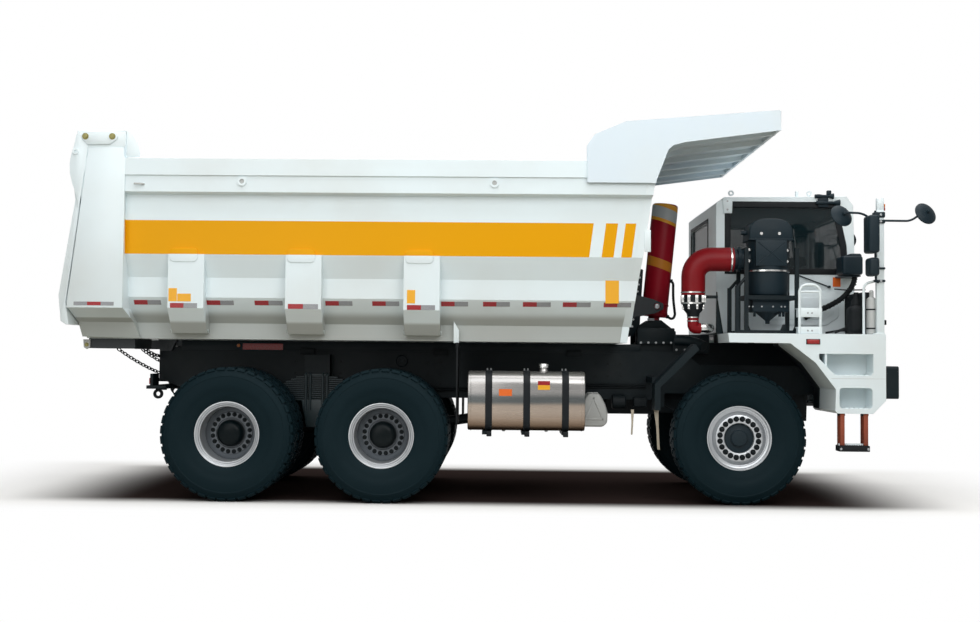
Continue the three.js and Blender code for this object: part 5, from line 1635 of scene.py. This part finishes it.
def headlampTrim(label, y):
    x = front["x"]
    return {
        f"headlamp_pod_{label}": {"look": "trim", "angle": 30, "parts": [
            ("block", (x - 0.004, y - 0.15, 2.1), (x + 0.02, y + 0.15, 2.33), 0.03, 4),
            ("turned", [(0.062, 0.012), (0.088, 0.012), (0.088, 0.034), (0.074, 0.036), (0.062, 0.012)],
             (x, y, 2.215), forward, 36)]},
        f"headlamp_lens_{label}": {"look": "silver", "parts": [
            ("turned", [(0, 0.034), (0.04, 0.031), (0.064, 0.024), (0.066, 0.016), (0, 0.016)],
             (x, y, 2.215), forward, 36)]},
        f"turn_lamp_{label}": {"look": "lampAmber", "parts": [
            ("block", (x + 0.016, y - 0.125, 2.11), (x + 0.03, y + 0.125, 2.138), 0.006)]},
    }


def wiperRows(y):
    x = front["x"]
    return [("tube", [(x + 0.012, y, 2.64), (x + 0.03, y + 0.05, 2.68), (x + 0.012, y + 0.42, 3.06)],
             0.008, 0.03),
            ("block", (x - 0.006, y + 0.2, 3.05), (x + 0.01, y + 0.66, 3.072), 0.004),
            ("turned", [(0, 0), (0.026, 0), (0.022, 0.03), (0, 0.034)], (x, y, 2.64), forward, 18)]


def bumperLamp(side):
    x, y = front["bumper"], side * 1.3
    return {
        f"bumper_cup_{side}": {"look": "trim", "parts": [
            ("block", (x - 0.004, y - 0.1, 1.31), (x + 0.006, y + 0.1, 1.48), 0.02, 3)]},
        f"bumper_lamp_{side}": {"look": "silver", "angle": 40, "parts": [
            ("turned", [(0, 0.014), (0.04, 0.012), (0.056, 0.004), (0.056, 0), (0, 0)],
             (x + 0.002, y, 1.395),
             forward, 32)]},
    }


def frontTrim():
    x, lip = front["x"], front["bumper"]
    loops = [[(lip - 0.01, y - 0.05, 1.27), (lip + 0.05, y - 0.05, 1.27), (lip + 0.05, y + 0.05, 1.27),
              (lip - 0.01, y + 0.05, 1.27)] for y in (-0.62, 0.62)]
    return {
        "windscreen_seal": {"look": "trim", "parts": [
            ("seal", [(x - 0.016, y, z) for y, z in roundedFlat(*front["screen"], 0.08)], (0.022, 0, 0),
             0.05)]},
        "front_grille": {"look": "plastic", "parts": [
            ("block", (x - 0.004, 0.02, 2.08), (x + 0.01, 1.08, 2.52), 0.01, 3),
            *[("block", (x + 0.006, 0.05, z), (x + 0.026, 1.05, z + 0.022), 0.004)
              for z in [2.115 + 0.052 * i for i in range(8)]]]},
        **headlampTrim("right", -0.15), **headlampTrim("left", 1.25),
        "wipers": {"look": "trim", "angle": 40, "parts": wiperRows(0.05) + wiperRows(1.15)},
        "blank_plate": {"look": "yellow", "parts": [
            ("block", (lip, -0.24, 1.33), (lip + 0.004, 0.24, 1.46), 0.004)]},
        **bumperLamp(-1), **bumperLamp(1),
        "front_tow_loops": {"look": "cast", "angle": 50, "parts": [
            ("tube", loop, 0.014, 0.04) for loop in loops]},
        "bumper_bolts": {"look": "bolt", "angle": 30, "parts": boltRows(
            [(lip, side * y, z) for side in (-1, 1) for y in (0.4, 0.9) for z in (1.265, 1.525)], 0.013,
            forward)},
    }


# Tailgate: a bent panel with hinge ears, stiffeners, and marks along its foot, as (z, x) corners
gate = {"inner": ((3.86, -3.4), (3.268, -3.345), (2.194, -3.482), (1.947, -3.441), (1.947, -3.475)),
        "outer": ((1.986, -3.532), (2.27, -3.562), (2.838, -3.475), (3.33, -3.398), (3.5, -3.42),
                  (3.86, -3.44)),
        "ear": ((4.1, -3.43), (4.1, -3.3), (3.99, -3.29), (3.84, -3.39), (3.8, -3.43)),
        "ribs": (-1.3, -0.44, 0.44, 1.3), "ribHeights": (2.08, 2.27, 2.838, 3.33, 3.6),
        "bars": (2.34, 2.838, 3.33), "wide": 0.045, "reds": (-1.75, -1.05, 0.55, 1.25)}


def gateFace(z):  # outer face of the tailgate at a height
    points = gate["outer"]
    for (z0, x0), (z1, x1) in zip(points, points[1:]):
        if z <= z1:
            return x0 + (x1 - x0) * (z - z0) / (z1 - z0)
    return points[-1][1]


def markRows(places):
    x = gateFace(2.1)
    return [("block", (x - 0.005, y, 2.085), (x + 0.004, y + 0.15, 2.13), 0.001, 1) for y in places]


def gateTrim():
    wide, heights = gate["wide"], gate["ribHeights"]
    strip = [(gateFace(z) + 0.006, z) for z in heights] + [(gateFace(z) - 0.012, z)
                                                           for z in reversed(heights)]
    panel, ear = ([(x, z) for z, x in corners] for corners in (gate["inner"] + gate["outer"], gate["ear"]))
    return {
        "tailgate_finished": {"look": "paint", "nodes": ["tailgate"], "parts": [
            ("plate", -1.95, panel, 3.9, 0.006),
            *[("plate", y, ear, 0.05, 0.004) for y in (-1.785, 1.735)]]},
        "tailgate_ribs": {"look": "paint", "parts": [
            *[("plate", y - wide, strip, 2 * wide, 0.005) for y in gate["ribs"]],
            *[("block", (x - 0.009, -1.78, z - wide), (x + 0.012, 1.78, z + wide), 0.005)
              for x, z in [(gateFace(z), z) for z in gate["bars"]]]]},
        "gate_marks_red": {"look": "red", "parts": markRows(gate["reds"])},
        "gate_marks_silver": {"look": "silver", "parts": markRows([y + 0.15 for y in gate["reds"]])},
    }


# Door seal, handle, hinges and emboss on the cab's left side, with the grab rail beside them
doorGlass = ((4.375, 2.64), (5.35, 2.64), (5.318, 3.0), (5.262, 3.425), (4.375, 3.425))
doorTrim = {
    "door_seal": {"look": "trim", "parts": [
        ("seal", [(x, 1.722, z) for x, z in doorGlass], (0, 0.062, 0), 0.035)]},
    "door_handle": {"look": "trim", "angle": 40, "parts": [
        ("tube", [(4.43, 1.776, 2.52), (4.43, 1.825, 2.52), (4.6, 1.825, 2.52), (4.6, 1.776, 2.52)],
         0.011, 0.03),
        ("block", (4.4, 1.777, 2.47), (4.63, 1.786, 2.57), 0.02, 3)]},
    "door_emboss": {"look": "paint", "parts": [
        ("plate", 1.778, roundedFlat((4.44, 5.28), (2.08, 2.42), 0.06), 0.012, 0.008, 3)]},
    "door_hinges": {"look": "paint", "parts": [
        ("block", (5.3, 1.776, z), (5.385, 1.794, z + 0.07), 0.005) for z in (2.2, 2.52, 3.3)]},
    "door_rail": {"look": "trim", "angle": 50, "body": "chassis", "parts": [
        ("tube", [(5.44, 1.745, 2.05), (5.44, 1.8, 2.08), (5.44, 1.8, 2.56), (5.44, 1.745, 2.59)], 0.014,
         0.05)]},
}


# Under the front: beige flaps on the right, then filler plates, pipes and air tank along both rails
aprons = {"front_aprons": {"look": "beige", "parts": [
    ("plate", -1.2, points, 0.012, 0.003) for points in (
        ((2.811, 1.05), (2.847, 1.05), (2.838, 0.9), (2.83, 0.761), (2.812, 0.765), (2.818, 0.9)),
        ((3.073, 1.05), (3.125, 1.05), (3.128, 0.85), (3.143, 0.594), (3.112, 0.6), (3.1, 0.85)))]}}
railTrim = {
    "rail_fillers": {"look": "chassis", "angle": 40, "parts": [
        ("block", (2.6, -0.465, 1.715), (2.99, -0.3, 1.8), 0.006),
        ("block", (2.955, -0.47, 1.806), (3.398, -0.4, 1.998), 0.01),
        ("block", (3.38, -0.47, 1.7), (3.81, -0.44, 1.922), 0.008),
        ("tube", [(3.38, -0.62, 1.85), (3.56, -0.66, 1.85), (3.7, -0.8, 1.78)], 0.062, 0.1, 5, 6)]},
    "rail_parts": {"look": "cast", "angle": 40, "parts": [
        ("turned", [(0, 0), (0.07, 0), (0.085, 0.012), (0.085, 0.15), (0.07, 0.165), (0, 0.165)],
         (2.64, -0.6, 1.12), forward, 28),
        ("block", (2.9, -0.6, 1.06), (3.06, -0.47, 1.17), 0.014, 3),
        *[("tube", [(x, -0.476 - 0.012 * i, z + 0.022 * i)
                    for x, z in ((0.3, 1.22), (1.7, 1.22), (2.4, 1.28), (3.05, 1.28))], 0.008, 0.06)
          for i in range(3)]]},
    "rail_bolts": {"look": "bolt", "angle": 30, "parts": boltRows(
        [(x, -0.472, 1.74) for x in (3.42, 3.52, 3.62, 3.72)]
        + [(2.995 + 0.09 * i, -0.472, 1.822) for i in range(5)], 0.01)},
}


makeEased()
makeWheels()
makeSuspension()
makeFuelTank()
makeOilTank()
makeSmallTank()
makeHoist()
makeStiffeners()
makeStrips()
makeTrim("bed trim", bedTrim, "bed", True)
makeTrim("rear trim", rearTrim, "bed", True)
makeTrim("frame marks", frameMarks, "bed")
makeTrim("frame trim", frameTrim, both=True)
makeTrim("duct", ductTrim())
makeTrim("air filter", filterTrim())
makeTrim("cooler", coolerTrim)
makeTrim("right mirrors", mirrorTrim("right", -1, 5.46, 5.542, 0))
makeTrim("left mirrors", mirrorTrim("left", 1, 5.497, 5.545, 0.245))
makeTrim("ladder", ladderTrim())
makeTrim("deck trim", deckTrim, both=True)
makeTrim("cab trim", cabTrim)
makeTrim("cab lining", insideTrim)
makeSeat()
eased("dashboard", "plastic", 0.02, 3)
makeTrim("dash", dashTrim())
makeTrim("front", frontTrim())
makeTrim("tailgate", gateTrim(), "tailgate")
makeTrim("door", doorTrim, "cab_door")
makeTrim("aprons", aprons)
makeTrim("underside", railTrim, both=True)
